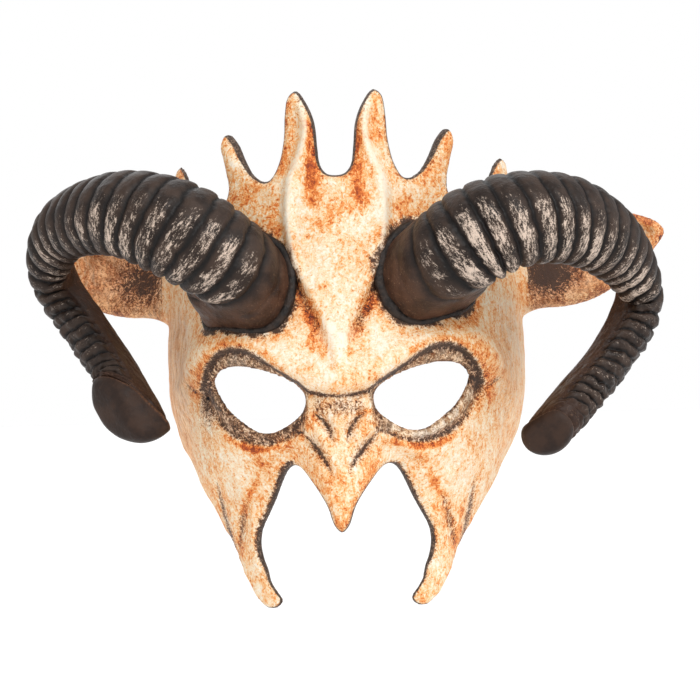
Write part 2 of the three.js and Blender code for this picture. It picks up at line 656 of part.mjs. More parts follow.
function rivet(side) {
  const inner = BAND_IN_X - GAP;
  const outer = TAB_OUT_X + GAP;
  const turned = rodAlongX([
    [0, inner - RIVET_HEAD_HIGH], [RIVET_HEAD_RADIUS * 0.75, inner - RIVET_HEAD_HIGH],
    [RIVET_HEAD_RADIUS, inner],
    [RIVET_RADIUS, inner], [RIVET_RADIUS, outer], [RIVET_HEAD_RADIUS, outer],
    [RIVET_HEAD_RADIUS * 0.75, outer + RIVET_HEAD_HIGH], [0, outer + RIVET_HEAD_HIGH],
  ], 16);
  return geometryOf(onSide(side, solid(turned)));
}

function adjuster() {
  const { wide, thick, halfHigh, bar } = ADJUSTER;
  const y = BAND.backY;
  const slot = BAND.thick / 2 + GAP;
  const open = BAND.halfHigh + 0.5;
  const [low, high] = [PIVOT.z - halfHigh, PIVOT.z + halfHigh];
  let frame = solid(box(-wide / 2, wide / 2, y - thick / 2, y + thick / 2, low, high));
  frame = frame.subtract(solid(box(-wide, wide, y - slot, y + slot, PIVOT.z - open, PIVOT.z + open)));
  const window = (wide - 3 * bar) / 2;
  for (const x of [-wide / 2 + bar, bar / 2]) {
    frame = frame.subtract(solid(box(x, x + window, y, y + thick, PIVOT.z - open, PIVOT.z + open)));
  }
  return geometryOf(frame);
}

for (const side of ['left', 'right']) {
  add(`strap_tab_${side}`, strapTab(side), 'webbing');
  add(`strap_rivet_${side}`, rivet(side), 'steel');
}
add('headband', headband(), 'webbing');
add('strap_adjuster', adjuster(), 'plastic');

export default group;
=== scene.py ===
"""Looks of the horned demon half mask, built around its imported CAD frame.

Shapes are worked out in the CAD frame's millimetres and turned into metres when a mesh is made.
The face looks along -Y, X = 0 is its mirror plane, and "left" is the -X side.
"""

import math

import bpy
import numpy as np
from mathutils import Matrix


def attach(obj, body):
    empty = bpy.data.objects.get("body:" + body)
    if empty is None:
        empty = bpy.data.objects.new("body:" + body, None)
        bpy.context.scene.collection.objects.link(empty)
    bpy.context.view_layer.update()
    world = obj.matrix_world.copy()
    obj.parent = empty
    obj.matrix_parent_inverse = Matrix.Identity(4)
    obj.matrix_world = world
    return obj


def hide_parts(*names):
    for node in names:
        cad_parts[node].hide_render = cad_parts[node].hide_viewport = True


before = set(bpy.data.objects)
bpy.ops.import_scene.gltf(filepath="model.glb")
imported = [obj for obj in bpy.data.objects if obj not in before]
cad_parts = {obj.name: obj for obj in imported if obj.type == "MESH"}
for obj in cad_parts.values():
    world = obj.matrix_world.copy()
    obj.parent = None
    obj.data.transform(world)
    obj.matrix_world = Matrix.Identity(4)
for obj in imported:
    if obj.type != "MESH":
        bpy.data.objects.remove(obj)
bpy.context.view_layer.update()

import openvdb
from mathutils import Matrix, Vector

MM = 0.001
SIDES = {"left": -1, "right": 1}  # and the way along X

# ---------------------------------------------------------------- camera

CAMERA_DISTANCE = 1.4
CAMERA_TURN = math.radians(2.2)  # towards +X
CAMERA_ROLL = 0.026  # how far the camera's top leans to its right, as a slope
FRAME_WIDTH = 0.294  # seen across at the distance above
AIM = Vector((0.003, -0.045, 0.0197))


def make_camera():
    back = Vector((math.sin(CAMERA_TURN), -math.cos(CAMERA_TURN), 0))
    level = Vector((math.cos(CAMERA_TURN), math.sin(CAMERA_TURN), 0))
    up = (Vector((0, 0, 1)) + CAMERA_ROLL * level).normalized()
    right = up.cross(back).normalized()
    camera = bpy.data.objects.new("camera", bpy.data.cameras.new("camera"))
    camera.data.sensor_width = 36
    camera.data.lens = 36 * CAMERA_DISTANCE / FRAME_WIDTH
    camera.data.clip_end = 50
    turn = Matrix((right, up, back)).transposed().to_4x4()
    camera.matrix_world = Matrix.Translation(AIM + back * CAMERA_DISTANCE) @ turn
    bpy.context.scene.collection.objects.link(camera)
    bpy.context.scene.camera = camera


make_camera()

# ---------------------------------------------------------------- driving dimensions
# They are the CAD's, except that the crown's spikes are thicker and slightly reshaped, and that a lip
# thickens the shell along the prongs' inner edges.

GAP = 0.3  # kept between neighbouring pieces
WALL = 3.0
SPIKE_WALL = 9.0
LIP_THICKER = 3.4
LIP_WIDE = 6
LIP_LINE = [(17, -26), (21, -27.5), (26, -35), (31, -46), (35, -58), (33, -70), (28, -81)]

HALF_WIDTH = [
    (-92, 33.5), (-80, 39.8), (-67, 46.4), (-48, 56), (-35, 64), (-22, 71), (-8, 75.3), (8, 77),
    (40, 76), (135, 74),
]
RIM_Y = [
    (-92, -62), (-70, -50), (-50, -32), (-35, -16), (-20, -4), (-8, -0.6), (0, 0), (10, 0), (135, 0),
]
FRONT_Y = [
    (-92, -70), (-60, -75), (-40, -79), (-20, -85), (0, -92), (20, -95), (40, -91), (60, -84),
    (80, -77), (100, -72), (135, -68),
]
NOSE_RISE = [
    (-62, 27), (-50, 26), (-40, 23), (-30, 19), (-20, 14.5), (-10, 10), (0, 6), (10, 3), (22, 0),
]
NOSE_SPREAD = 24
SHIELD_RISE = 3.5
SHIELD_EDGE = [
    (12, 0), (25, 4.4), (34, 7.9), (47, 14.2), (58, 18.3), (70, 20.3), (81, 20.6), (91, 19.4),
    (102, 14.9), (111, 12.9), (127, 15),
]
BROW_RISE = 5
BROW_LINE = [(0, 9), (12, 12), (30, 20), (46, 24), (58, 18), (70, 4)]
BROW_SPREAD = 9
CHEEK_RISE = 3

OUTLINE = [
    (0, -54.5), (2.9, -51.5), (6, -43), (12, -33.8), (17, -27.8), (19.5, -27), (22, -28.6), (24.6, -33),
    (27.6, -40), (31.2, -47.3), (34.2, -53.5), (35.1, -59), (34.4, -64.5), (32.4, -70.5), (31, -76),
    (28, -80.5), (26.4, -83.4), (28.8, -86.2), (33, -86.4), (38, -82.5), (46, -83), (92, -80), (92, 44),
    (80, 44), (74.4, 62), (72.2, 82), (70.9, 93), (69.6, 98.4), (67.6, 99.6), (65.4, 97.4), (61, 88),
    (55, 81), (49.5, 79.8), (45.8, 86), (46.8, 98), (48.3, 107), (45.6, 111.6), (41.4, 107.2),
    (37.8, 99.5), (33.7, 92.8), (28.6, 90.2), (24.8, 95), (21.8, 106), (20.9, 118), (19.4, 125.4),
    (15.8, 127.7), (11.4, 122), (8.3, 114), (7.3, 104), (6.2, 96), (3.4, 92.4), (0, 91.8),
]
EYE_HOLE = [
    (14, 0.5), (15.8, 4), (20.3, 7.3), (28.7, 11.2), (37, 13.3), (44, 13.8), (49.5, 12.3), (52.6, 8),
    (51, 3), (47, -3.4), (40.8, -8.8), (34.5, -12.8), (30, -13.5), (25.5, -12.4), (19.6, -8.9),
    (15.2, -4.5),
]

HORNS = {
    "left": {
        "path": [
            (-33.5, -62, 37), (-38.5, -77, 44.5), (-47, -89.5, 56), (-62.8, -94, 69), (-81.9, -87, 76.5),
            (-99.5, -71, 77.4), (-115, -51, 72.5), (-122.6, -35, 60), (-119.8, -31, 47.7),
            (-110.9, -36, 35.4), (-102.7, -45, 24.5), (-94.4, -55, 12.9), (-90, -62, 6), (-86.5, -67, 0),
        ],
        "width": [44, 43.5, 43, 41, 37, 31.5, 26, 22, 20, 19.5, 19.5, 19.5, 20, 20.5],
        "end_facing": (-0.5, -0.62, -0.6),
        "cap_thick": 15,
    },
    "right": {
        "path": [
            (29.5, -62, 42.5), (38.5, -77.5, 48.5), (49, -89.5, 57), (60.5, -93, 65.5), (74.8, -91, 70.2),
            (93.2, -79, 70.4), (109.3, -61, 63.3), (120, -43, 52.5), (124.8, -32, 39.5), (121.8, -33, 29.4),
            (115.1, -40, 18.9), (106.8, -49, 8.5), (98.6, -57, 0), (91, -65, -8.5), (84.5, -71.5, -15.5),
        ],
        "width": [44.5, 44, 43.5, 42, 39.5, 36.5, 31, 24.5, 20.5, 20.5, 20, 19.5, 19.5, 19.5, 19],
        "end_facing": (-0.3, -0.85, -0.45),
        "cap_thick": 7,
    },
}
# Ways from a horn's middle line to its smooth side, one for each point of its path and the last of them
# for all that are left; these are the left horn's, and the right horn's are their mirror images.
SMOOTH_SIDE = [
    (0, 0.6, -1), (0.1, 0.5, -1), (0.2, 0.4, -1), (0.3, 0.4, -1), (0.3, 0.4, -1), (0.5, 0.5, -0.8),
    (0.8, 0.4, -0.5), (1, 0, 0), (0.9, -0.5, 0.3), (0.85, -0.6, 0.2),
]
HORN_DEEPER = 1.12  # times deeper than wide at its end

EAR_OUTLINE = [
    (66, 36), (76, 33.5), (84, 35.4), (96, 36.2), (107, 39), (117, 44.5), (128, 54), (136, 62.5),
    (138.6, 67.5), (136, 71.5), (126, 75.5), (106, 78), (88, 74), (76, 66), (66, 60),
]
EAR_Y = [(66, -16), (80, -7), (100, -1), (120, 2), (140, 3)]

PIVOT_Y = 10
PIVOT_Z = 38
BAND_BACK_Y = 74
BAND_STRAIGHT = 38
BAND_THICK = 1.4
BAND_HALF_HIGH = 9.5
TAB_Y = (-22, 19)
TAB_THICK = 1.6
TAB_HALF_HIGH = 9

# ---------------------------------------------------------------- number tools


def through(stations):
    """A smooth value through a few (position, value) stations, flat beyond the first and the last."""
    xs, ys = np.array(stations, float).T
    last = len(xs) - 1
    before = np.maximum(np.arange(last + 1) - 1, 0)
    after = np.minimum(np.arange(last + 1) + 1, last)
    slope = (ys[after] - ys[before]) / (xs[after] - xs[before])

    def value(at):
        at = np.clip(at, xs[0], xs[-1])
        i = np.clip(np.searchsorted(xs, at, side="right") - 1, 0, last - 1)
        h = xs[i + 1] - xs[i]
        t = (at - xs[i]) / h
        return (
            ys[i] * (2 * t**3 - 3 * t**2 + 1)
            + slope[i] * h * (t**3 - 2 * t**2 + t)
            + ys[i + 1] * (3 * t**2 - 2 * t**3)
            + slope[i + 1] * h * (t**3 - t**2)
        )

    return value


def along(values):
    """A smooth value through evenly spaced stations over 0..1."""
    return through([(i / (len(values) - 1), v) for i, v in enumerate(values)])


def step(at, low, high):
    """0 below low, 1 above high, smooth between; falls instead of rising where low is above high."""
    t = np.clip((at - low) / (high - low), 0, 1)
    return t * t * (3 - 2 * t)


def hill(t):
    return np.where(np.abs(t) < 1, 0.5 + 0.5 * np.cos(np.pi * np.clip(t, -1, 1)), 0)


def bell(t):
    return np.exp(-t * t)


def turns(count):
    """Angles evenly once round."""
    return np.arange(count) * 2 * np.pi / count


def unit(ways):
    """Vectors, one for each row, at length 1."""
    return ways / np.linalg.norm(ways, axis=-1, keepdims=True)


def dot(a, b):
    """Dot products row by row, as a column."""
    return (a * b).sum(1)[:, None]


def run_along(line):
    """How far along a line of points each of them lies."""
    return np.concatenate([[0], np.cumsum(np.linalg.norm(np.diff(line, axis=0), axis=1))])


def lattice(i, j, k, seed):
    """A number from 0 to 1 for each corner of a lattice."""
    h = (i * 374761393 + j * 668265263 + k * 2147483647 + seed * 1274126177) & 0xFFFFFFFF
    h = ((h ^ (h >> 13)) * 1274126177) & 0xFFFFFFFF
    return ((h ^ (h >> 16)) & 0xFFFF) / 65535.0


def noise(points, size, seed):
    """Smooth noise from -1 to 1 whose lumps are about size across."""
    p = np.asarray(points, float) / size
    base = np.floor(p).astype(np.int64)
    t = p - base
    t = t * t * (3 - 2 * t)
    total = 0
    for corner in range(8):
        bits = [(corner >> axis) & 1 for axis in range(3)]
        weight = 1
        for axis in range(3):
            weight = weight * (t[..., axis] if bits[axis] else 1 - t[..., axis])
        spots = [base[..., axis] + bits[axis] for axis in range(3)]
        total = total + weight * lattice(*spots, seed)
    return 2 * total - 1


def catmull(points, closed=False):
    """Centripetal curve through points, as a function of shares 0..1."""
    points = np.array(points, float)
    count = len(points)
    spans = count if closed else count - 1

    def corner(i):
        if closed:
            return points[i % count]
        low = 2 * points[0] - points[1]
        high = 2 * points[-1] - points[-2]
        padded = np.vstack([low, points, high])
        return padded[i + 1]

    def at(t):
        p = np.clip(np.asarray(t, float), 0, 1) * spans
        i = np.minimum(p.astype(int), spans - 1)
        u = (p - i)[:, None]
        a, b, c, d = (corner(i + k) for k in (-1, 0, 1, 2))
        ab, bc, cd = (
            np.maximum(np.linalg.norm(q - r, axis=1), 1e-6)[:, None] ** 0.5
            for q, r in ((b, a), (c, b), (d, c))
        )
        m1 = ((b - a) / ab - (c - a) / (ab + bc) + (c - b) / bc) * bc
        m2 = ((c - b) / bc - (d - b) / (bc + cd) + (d - c) / cd) * bc
        return b + m1 * u + (3 * (c - b) - 2 * m1 - m2) * u**2 + (2 * (b - c) + m1 + m2) * u**3

    return at


def polyline(points, spacing):
    """Points no more than spacing apart along straight lines between the ones given."""
    points = np.array(points, float)
    out = [points[:1]]
    for a, b in zip(points[:-1], points[1:]):
        n = max(1, int(np.ceil(np.linalg.norm(b - a) / spacing)))
        out.append(a + (b - a) * (np.arange(1, n + 1) / n)[:, None])
    return np.vstack(out)


def line_distance(x, z, line):
    """Distance to a line of points, share of the way along it, and offset to its left."""
    best = np.full(np.shape(x), 1e9)
    share = np.zeros(np.shape(x))
    left = np.zeros(np.shape(x))
    line = np.array(line, float)
    before = run_along(line)
    lengths = np.diff(before)
    for k, (a, b) in enumerate(zip(line[:-1], line[1:])):
        dx, dz = (b - a) / lengths[k]
        along_it = np.clip((x - a[0]) * dx + (z - a[1]) * dz, 0, lengths[k])
        ex, ez = x - a[0] - along_it * dx, z - a[1] - along_it * dz
        dist = np.hypot(ex, ez)
        nearer = dist < best
        best = np.where(nearer, dist, best)
        share = np.where(nearer, (before[k] + along_it) / before[-1], share)
        left = np.where(nearer, dx * ez - dz * ex, left)
    return best, share, left


def is_within(x, z, loop):
    """Whether points lie in a closed loop."""
    inside = np.zeros(np.shape(x), bool)
    for (ax, az), (bx, bz) in zip(loop, np.roll(loop, -1, axis=0)):
        if az == bz:
            continue
        crosses = (az > z) != (bz > z)
        inside ^= crosses & (x < ax + (z - az) * (bx - ax) / (bz - az))
    return inside


# ---------------------------------------------------------------- shell formulas

half_width = through(HALF_WIDTH)
rim_y = through(RIM_Y)
front_y = through(FRONT_Y)
nose_rise = through(NOSE_RISE)
shield_edge = through(SHIELD_EDGE)
brow_line = through(BROW_LINE)


def relief(x, z):
    side = np.abs(x)
    fade = 1 - step(side, 60, 74)
    nose = nose_rise(z) * hill(x / NOSE_SPREAD)
    brow = BROW_RISE * bell((z - brow_line(side)) / BROW_SPREAD)
    in_shield = np.where(z > 12, step(shield_edge(z) - side, -3, 3), 0)
    cheek = CHEEK_RISE * hill((side - 44) / 26) * hill((z + 24) / 22)
    return fade * (nose + brow + SHIELD_RISE * in_shield + cheek)


def outer_off(theta, z):
    return relief(half_width(z) * np.sin(theta), z)


def inner_off(theta, z):
    side = half_width(z) * np.sin(np.abs(theta))
    distance, share, _ = line_distance(side, z, LIP_LINE)
    lip = LIP_THICKER * bell(distance / LIP_WIDE) * (1.15 - 1.05 * share)
    spike = (SPIKE_WALL - WALL) * step(z, 80, 106) * step(side, 62, 50)
    return 0.75 * outer_off(theta, z) - WALL - spike - lip


def on_shell(theta, z, off):
    w, rim = half_width(z), rim_y(z)
    deep = rim - front_y(z)
    nx, ny = np.sin(theta) / w, -np.cos(theta) / deep
    size = np.hypot(nx, ny)
    x = w * np.sin(theta) + off * nx / size
    y = rim - deep * np.cos(theta) + off * ny / size
    return np.stack(np.broadcast_arrays(x, y, z), axis=-1)


def unwrap(x, y, z):
    """The angle round the shell and the stand-off of points, the other way round from on_shell."""
    w, rim = half_width(z), rim_y(z)
    deep = rim - front_y(z)
    py = y - rim
    theta = np.arctan2(x / w, -py / deep)
    for _ in range(6):
        s, c = np.sin(theta), np.cos(theta)
        f = (w * w - deep * deep) * s * c - w * x * c - deep * py * s
        slope = (w * w - deep * deep) * (c * c - s * s) + w * x * s - deep * py * c
        slope = np.where(np.abs(slope) < 1e-3, 1e-3, slope)
        theta = theta - np.clip(f / slope, -0.4, 0.4)
    s, c = np.sin(theta), np.cos(theta)
    nx, ny = s / w, -c / deep
    size = np.hypot(nx, ny)
    return theta, ((x - w * s) * nx + (py + deep * c) * ny) / size


# ---------------------------------------------------------------- shell edges, on a map of angle and height

THETA = np.radians(np.arange(0, 116, 0.5))
HEIGHT = np.arange(-93, 134, 0.75)


def arc_table():
    """Length round the shell from its middle, for each height and angle of the map."""
    w = half_width(HEIGHT)[:, None]
    deep = (rim_y(HEIGHT) - front_y(HEIGHT))[:, None]
    speed = np.hypot(w * np.cos(THETA), deep * np.sin(THETA))
    turn = THETA[1] - THETA[0]
    grown = np.cumsum((speed[:, 1:] + speed[:, :-1]) * turn / 2, axis=1)
    return np.hstack([np.zeros((len(HEIGHT), 1)), grown])


def unrolled(line):
    """A front outline, material on its left, as length round the shell and height."""
    quarter = np.radians(np.linspace(0, 90, 181))
    way = np.gradient(line, axis=0)
    outward = way[:, 1] / np.maximum(np.hypot(way[:, 0], way[:, 1]), 1e-9)
    out = []
    for (x, z), facing in zip(line, outward):
        outer = on_shell(quarter, z, outer_off(quarter, z))[:, 0]
        inner = on_shell(quarter, z, inner_off(quarter, z))[:, 0]
        share = 0.5 + 0.12 * facing
        reach = np.maximum.accumulate(inner + (outer - inner) * share)
        theta = np.interp(x, reach, quarter)
        w = half_width(z)
        deep = rim_y(z) - front_y(z)
        turn = np.linspace(0, theta, 60)
        speed = np.hypot(w * np.cos(turn), deep * np.sin(turn))
        out.append((np.trapz(speed, turn), z))
    return np.array(out)


def edge_map():
    """Signed distance into the material from its nearest edge, over the map."""
    s, z = arc_table(), np.broadcast_to(HEIGHT[:, None], (len(HEIGHT), len(THETA)))
    half = catmull(OUTLINE)(np.linspace(0, 1, 181))
    outline = unrolled(polyline(half, 1.0))
    eye = catmull(EYE_HOLE, closed=True)(np.linspace(0, 1, 65))
    eye = unrolled(polyline(eye, 1.0))
    loop = np.vstack([outline, [(-5, outline[-1, 1]), (-5, outline[0, 1])]])
    to_outline = line_distance(s, z, outline)[0]
    to_eye = line_distance(s, z, eye)[0]
    solid = is_within(s, z, loop) & ~is_within(s, z, eye)
    distance = np.minimum(to_outline, to_eye)
    return np.where(solid, distance, -distance), to_eye


EDGE, TO_EYE = edge_map()


def from_map(table, theta, z):
    """A map's value at angles and heights."""
    i = np.clip(np.abs(theta) / (THETA[1] - THETA[0]), 0, len(THETA) - 1.001)
    j = np.clip((z - HEIGHT[0]) / (HEIGHT[1] - HEIGHT[0]), 0, len(HEIGHT) - 1.001)
    a, b = i.astype(int), j.astype(int)
    u, v = i - a, j - b
    low = table[b, a] * (1 - u) + table[b, a + 1] * u
    high = table[b + 1, a] * (1 - u) + table[b + 1, a + 1] * u
    return low * (1 - v) + high * v


# ---------------------------------------------------------------- features of the face

# Lines are drawn on the right half, as X and Z seen from the front.
LID_CREASE = [
    (0, 1.3), (5, 1.6), (12, 3), (17, 7), (24.5, 11.7), (32.3, 16.8), (39, 20.2), (45, 20.7), (50.7, 18.2),
    (55.2, 12.7), (57.8, 5),
]
UNDER_LID = [
    (15, -12.5), (22.5, -15.8), (29.6, -18), (36.2, -17.6), (44, -14.5), (50.4, -9.5), (54.8, -3), (57, 3),
]
RED_BAG = [(18, -16.5), (24, -18.8), (30, -20.4), (38, -20), (46, -16.6), (50, -13.5)]
CHEEK_FOLD = [(15, -14), (24, -17.6), (31.5, -23.5)]
NOSTRIL = [(10.7, -5.5), (6.9, -8.2), (4, -12.5), (3, -17.5)]
NOSE_FLANK = [(15.5, -13.5), (10.5, -18.8), (6.3, -24.4), (3.6, -30.3)]
SHIELD_CREASE = [(19, 50), (13.7, 40), (9.6, 32.3), (7.5, 26.5), (5, 20)]
LOWER_LID = [(18, -10), (24, -14.2), (30, -15.6), (36, -14.6), (43, -11), (49, -5), (53, 1)]
NOSE_FOLD = [(12.5, -13), (8.5, -18), (5, -24)]
NOSTRIL_FOLD = [(12.5, -7.5), (9.5, -10.5), (7.4, -15)]
PRONG_GROOVE = [(40.4, -41), (42.6, -48), (44, -56), (45.2, -64)]
CHEEK_WASH = [(30, -21), (35, -30), (39.5, -40), (43, -50)]
PRONG_RIDGE = [(44, -34), (38, -50), (36, -66)]
PRONG_FLUTE = [(54, -34), (51.5, -48), (47.5, -62), (44, -70)]
TEMPLE_TAIL = [(56, 1), (60, 3), (65, 6.5)]
SOCKET = LID_CREASE[2:] + UNDER_LID[::-1]

# Each line's height or depth, and how wide it spreads.
FOLDS = [
    (LOWER_LID, 1.1, 2.0), (RED_BAG, 1.2, 4.5), (CHEEK_FOLD, 2.0, 3.0), (NOSE_FOLD, 1.6, 2.4),
    (NOSTRIL_FOLD, 1.8, 2.2), (PRONG_RIDGE, 1.2, 3.0), (TEMPLE_TAIL, -0.8, 1.2),
]
GROOVES = [(NOSTRIL, 2.6, 2.0), (NOSE_FLANK, 2.8, 2.3), (PRONG_GROOVE, 1.8, 2.2), (PRONG_FLUTE, 1.3, 2.2)]


def socket(side, z):
    """1 around the eye between the lids' creases, 0 outside them."""
    loop = np.array(SOCKET + SOCKET[:1], float)
    distance = line_distance(side, z, loop)[0]
    return step(np.where(is_within(side, z, loop[:-1]), distance, -distance), -1.0, 1.5)


def near(side, z, line, wide):
    """A bell across a line."""
    return bell(line_distance(side, z, line)[0] / wide)


def blot(side, z, middle, size):
    """A soft spot; its middle and its size are given as X and Z."""
    return bell((side - middle[0]) / size[0]) * bell((z - middle[1]) / size[1])


def stroke(side, z, line, wide):
    """A bell across a line that tapers towards the line's ends."""
    distance, share, _ = line_distance(side, z, line)
    taper = np.sqrt(np.clip(np.sin(np.pi * np.clip(share, 0.02, 0.98)), 0, 1))
    return bell(distance / (wide * (0.35 + 0.65 * taper))) * (0.4 + 0.6 * taper)


def features(x, z):
    """How far modelled creases and folds stand out of the face at points seen from the front."""
    side = np.abs(x)
    crease, share, above = line_distance(side, z, LID_CREASE)
    ends = step(share, 0.02, 0.15) * step(share, 1, 0.9)
    overhang = step(share, 1, 0.85) * step(above, -1.0, 1.8) * np.exp(-np.clip(above, 0, 60) / 9)
    out = 3.2 * overhang - 1.3 * bell(crease / 1.8) * (0.35 + 0.65 * ends)
    out = out - 0.8 * socket(side, z)
    lid, share, _ = line_distance(side, z, UNDER_LID)
    out = out - 1.2 * bell(lid / 1.8) * step(share, 0, 0.1)
    for line, high, wide in FOLDS:
        out = out + high * near(side, z, line, wide)
    for line, deep, wide in GROOVES:
        out = out - deep * stroke(side, z, line, wide)
    out = out - 1.6 * bell((z - 1.8 - side * side / 90) / 2.0) * step(side, 15, 9)
    v, share, _ = line_distance(side, z, SHIELD_CREASE)
    out = out - 1.6 * bell(v / 2.2) * step(share, 1, 0.7)
    ridge = side - shield_edge(z) + 0.4
    out = out + 1.6 * bell(ridge / 2.4) * step(z, 40, 56) * step(z, 128, 118)
    edge_curl = side - 66
    out = out - 1.0 * bell(edge_curl / 4) * step(z, 42, 30) * step(z, -45, -25)
    spot = np.stack(np.broadcast_arrays(x, 0 * x, z), axis=-1)
    out = out + 0.45 * noise(spot, 13, 1) + 0.28 * noise(spot, 5, 2) + 0.12 * noise(spot, 2.2, 3)
    return out


VOXEL = 1.13
LOW = np.array([-141.0, -113.0, -89.5])  # the grid's box
HIGH = np.array([141.0, 12.0, 130.5])
FAR = 3.0  # the field's value away from the material
EDGE_SOFT = 2.4  # how far the rounding of an edge reaches over the face
SPIKE_SOFT = 4.6  # and over the crown's spikes
EAR_BLEND = 5.0


def softness(z):
    return EDGE_SOFT + (SPIKE_SOFT - EDGE_SOFT) * step(z, 74, 92)


def face_layers(theta, z, x):
    """Middle and half thickness of the shell's wall at points."""
    outer = outer_off(theta, z) + features(x, z)
    inner = inner_off(theta, z)
    return (outer + inner) / 2, (outer - inner) / 2


def ear_field(x, y, z, edge):
    """Below 0 in the ear's leaf; edge is the distance in from its outline."""
    side = np.abs(x)
    hollow = 8.5 * hill((side - 100) / 34) * hill((z - 57) / 19)
    roll = bell((edge - 3) / 2.2)
    middle = through(EAR_Y)(side) + hollow - 1.6 * roll * step(side, 80, 92)
    root = np.exp(-np.clip(side - 77, 0, 60) / 5)
    half = 1.8 + 0.8 * roll + 3.5 * root
    return half * (np.hypot((y - middle) / half, np.maximum(0, 3 - edge) / 3) - 1)


def ear_edge(x, z):
    loop = catmull(EAR_OUTLINE, closed=True)(np.linspace(0, 1, 121))[:-1]
    distance = line_distance(np.abs(x), z, np.vstack([loop, loop[:1]]))[0]
    return np.where(is_within(np.abs(x), z, loop), distance, -distance)


def face_grid():
    """The mask's shell and ears as one field over a grid, below 0 in the material."""
    counts = np.ceil((HIGH - LOW) / VOXEL).astype(int) + 1
    xs, ys, zs = (LOW[a] + VOXEL * np.arange(counts[a]) for a in range(3))
    field = np.full(counts, FAR, np.float32)
    for k, z in enumerate(zs):
        X, Y = np.meshgrid(xs, ys, indexing="ij")
        w, rim = half_width(z), rim_y(z)
        deep = rim - front_y(z)
        u, v = X / w, (Y - rim) / deep
        level = u * u + v * v - 1
        away = level / np.maximum(2 * np.hypot(u / w, v / deep), 1e-6)
        by_shell = (away > -13) & (away < 34) & (Y < rim + 9) & (np.abs(X) < 84)
        by_ear = (np.abs(X) > 60) & (Y > -42) & (28 < z < 84)
        wanted = by_shell | by_ear
        x, y = X[wanted], Y[wanted]
        zz = np.full(x.shape, z)
        theta, off = unwrap(x, y, zz)
        theta_a = np.abs(theta)
        column = features(xs, np.full(xs.shape, z))
        stands = np.interp(x, xs, column)
        outer = outer_off(theta_a, zz) + stands
        inner = inner_off(theta_a, zz)
        middle, half = (outer + inner) / 2, (outer - inner) / 2
        soft = softness(z)
        edge = from_map(EDGE, theta_a, zz)
        value = half * (np.hypot((off - middle) / half, np.maximum(0, soft - edge) / soft) - 1)
        if 28 < z < 84:
            ear_column = ear_edge(xs, np.full(xs.shape, z))
            ear = ear_field(x, y, zz, np.interp(x, xs, ear_column))
            ear = np.maximum(ear, middle - off)
            blend = np.maximum(EAR_BLEND - np.abs(value - ear), 0) / EAR_BLEND
            united = np.minimum(value, ear) - blend**2 * EAR_BLEND / 4
            value = np.where(np.abs(x) > 58, united, value)
        layer = field[:, :, k]
        layer[wanted] = np.clip(value, -FAR, FAR)
    return field


def faces_inwards(a, b, c):
    """Whether a closed surface's triangles, given by their corners, face inwards."""
    return np.einsum("ij,ij->i", a, np.cross(b, c)).sum() < 0


def surface_of(field):
    """Quads over a field's zero level, in millimetres, facing outwards."""
    grid = openvdb.FloatGrid(FAR)
    grid.copyFromArray(field)
    points, quads = grid.convertToQuads(0.0)
    points = LOW + VOXEL * np.array(points, float)
    quads = np.array(quads, int)
    if faces_inwards(*(points[quads[:, k]] for k in range(3))):
        quads = quads[:, ::-1]
    return points, quads


# ---------------------------------------------------------------- mesh tools


def make_object(name, points, faces, values=None):
    """A mesh from points in millimetres, with a number for each point under each name in values."""
    mesh = bpy.data.meshes.new(name)
    mesh.from_pydata((np.asarray(points) * MM).tolist(), [], [list(map(int, f)) for f in faces])
    for key, numbers in (values or {}).items():
        layer = mesh.attributes.new(key, "FLOAT", "POINT")
        layer.data.foreach_set("value", np.asarray(numbers, np.float32))
    mesh.shade_smooth()
    mesh.validate()
    made = bpy.data.objects.new(name, mesh)
    bpy.context.scene.collection.objects.link(made)
    return made


def ring_faces(rings, count, closed=False):
    """Quads over rings of count points each, and the last ring joins the first where closed."""
    i, k = np.meshgrid(np.arange(rings if closed else rings - 1), np.arange(count), indexing="ij")
    a, b = i * count + k, i * count + (k + 1) % count
    c, d = ((i + 1) % rings) * count + (k + 1) % count, ((i + 1) % rings) * count + k
    return np.stack([a, b, c, d], axis=-1).reshape(-1, 4)


def loft(rings):
    """Points and faces over an array of rings, its ends closed by fans."""
    count = rings.shape[1]
    points = rings.reshape(-1, 3)
    faces = ring_faces(len(rings), count).tolist()
    hub = len(points)
    last = hub - count
    for k in range(count):
        j = (k + 1) % count
        faces.append([j, k, hub])
        faces.append([last + k, last + j, hub + 1])
    return np.vstack([points, rings[0].mean(0), rings[-1].mean(0)]), faces


def face_outwards(made):
    """Turns a closed piece's faces outwards."""
    mesh = made.data
    mesh.calc_loop_triangles()
    corners = np.zeros(len(mesh.loop_triangles) * 3, np.int32)
    mesh.loop_triangles.foreach_get("vertices", corners)
    co = np.zeros(len(mesh.vertices) * 3)
    mesh.vertices.foreach_get("co", co)
    if faces_inwards(*co.reshape(-1, 3)[corners.reshape(-1, 3)].transpose(1, 0, 2)):
        mesh.flip_normals()
    return made


# ---------------------------------------------------------------- materials


class Signal:
    """A number or colour that a material works out at each point; numbers add and multiply as usual."""

    def __init__(self, paint, socket):
        self.paint = paint
        self.socket = socket

    def __add__(self, other):
        return self.paint.math("ADD", self, other)

    def __sub__(self, other):
        return self.paint.math("SUBTRACT", self, other)

    def __rsub__(self, other):
        return self.paint.math("SUBTRACT", other, self)

    def __mul__(self, other):
        return self.paint.math("MULTIPLY", self, other)

    __radd__ = __add__
    __rmul__ = __mul__


def screen(r, g, b):
    """The value that a colour socket needs to show a screen colour given over 0..255."""
    return (*(((c / 255 + 0.055) / 1.055) ** 2.4 if c > 10 else c / 3295 for c in (r, g, b)), 1)


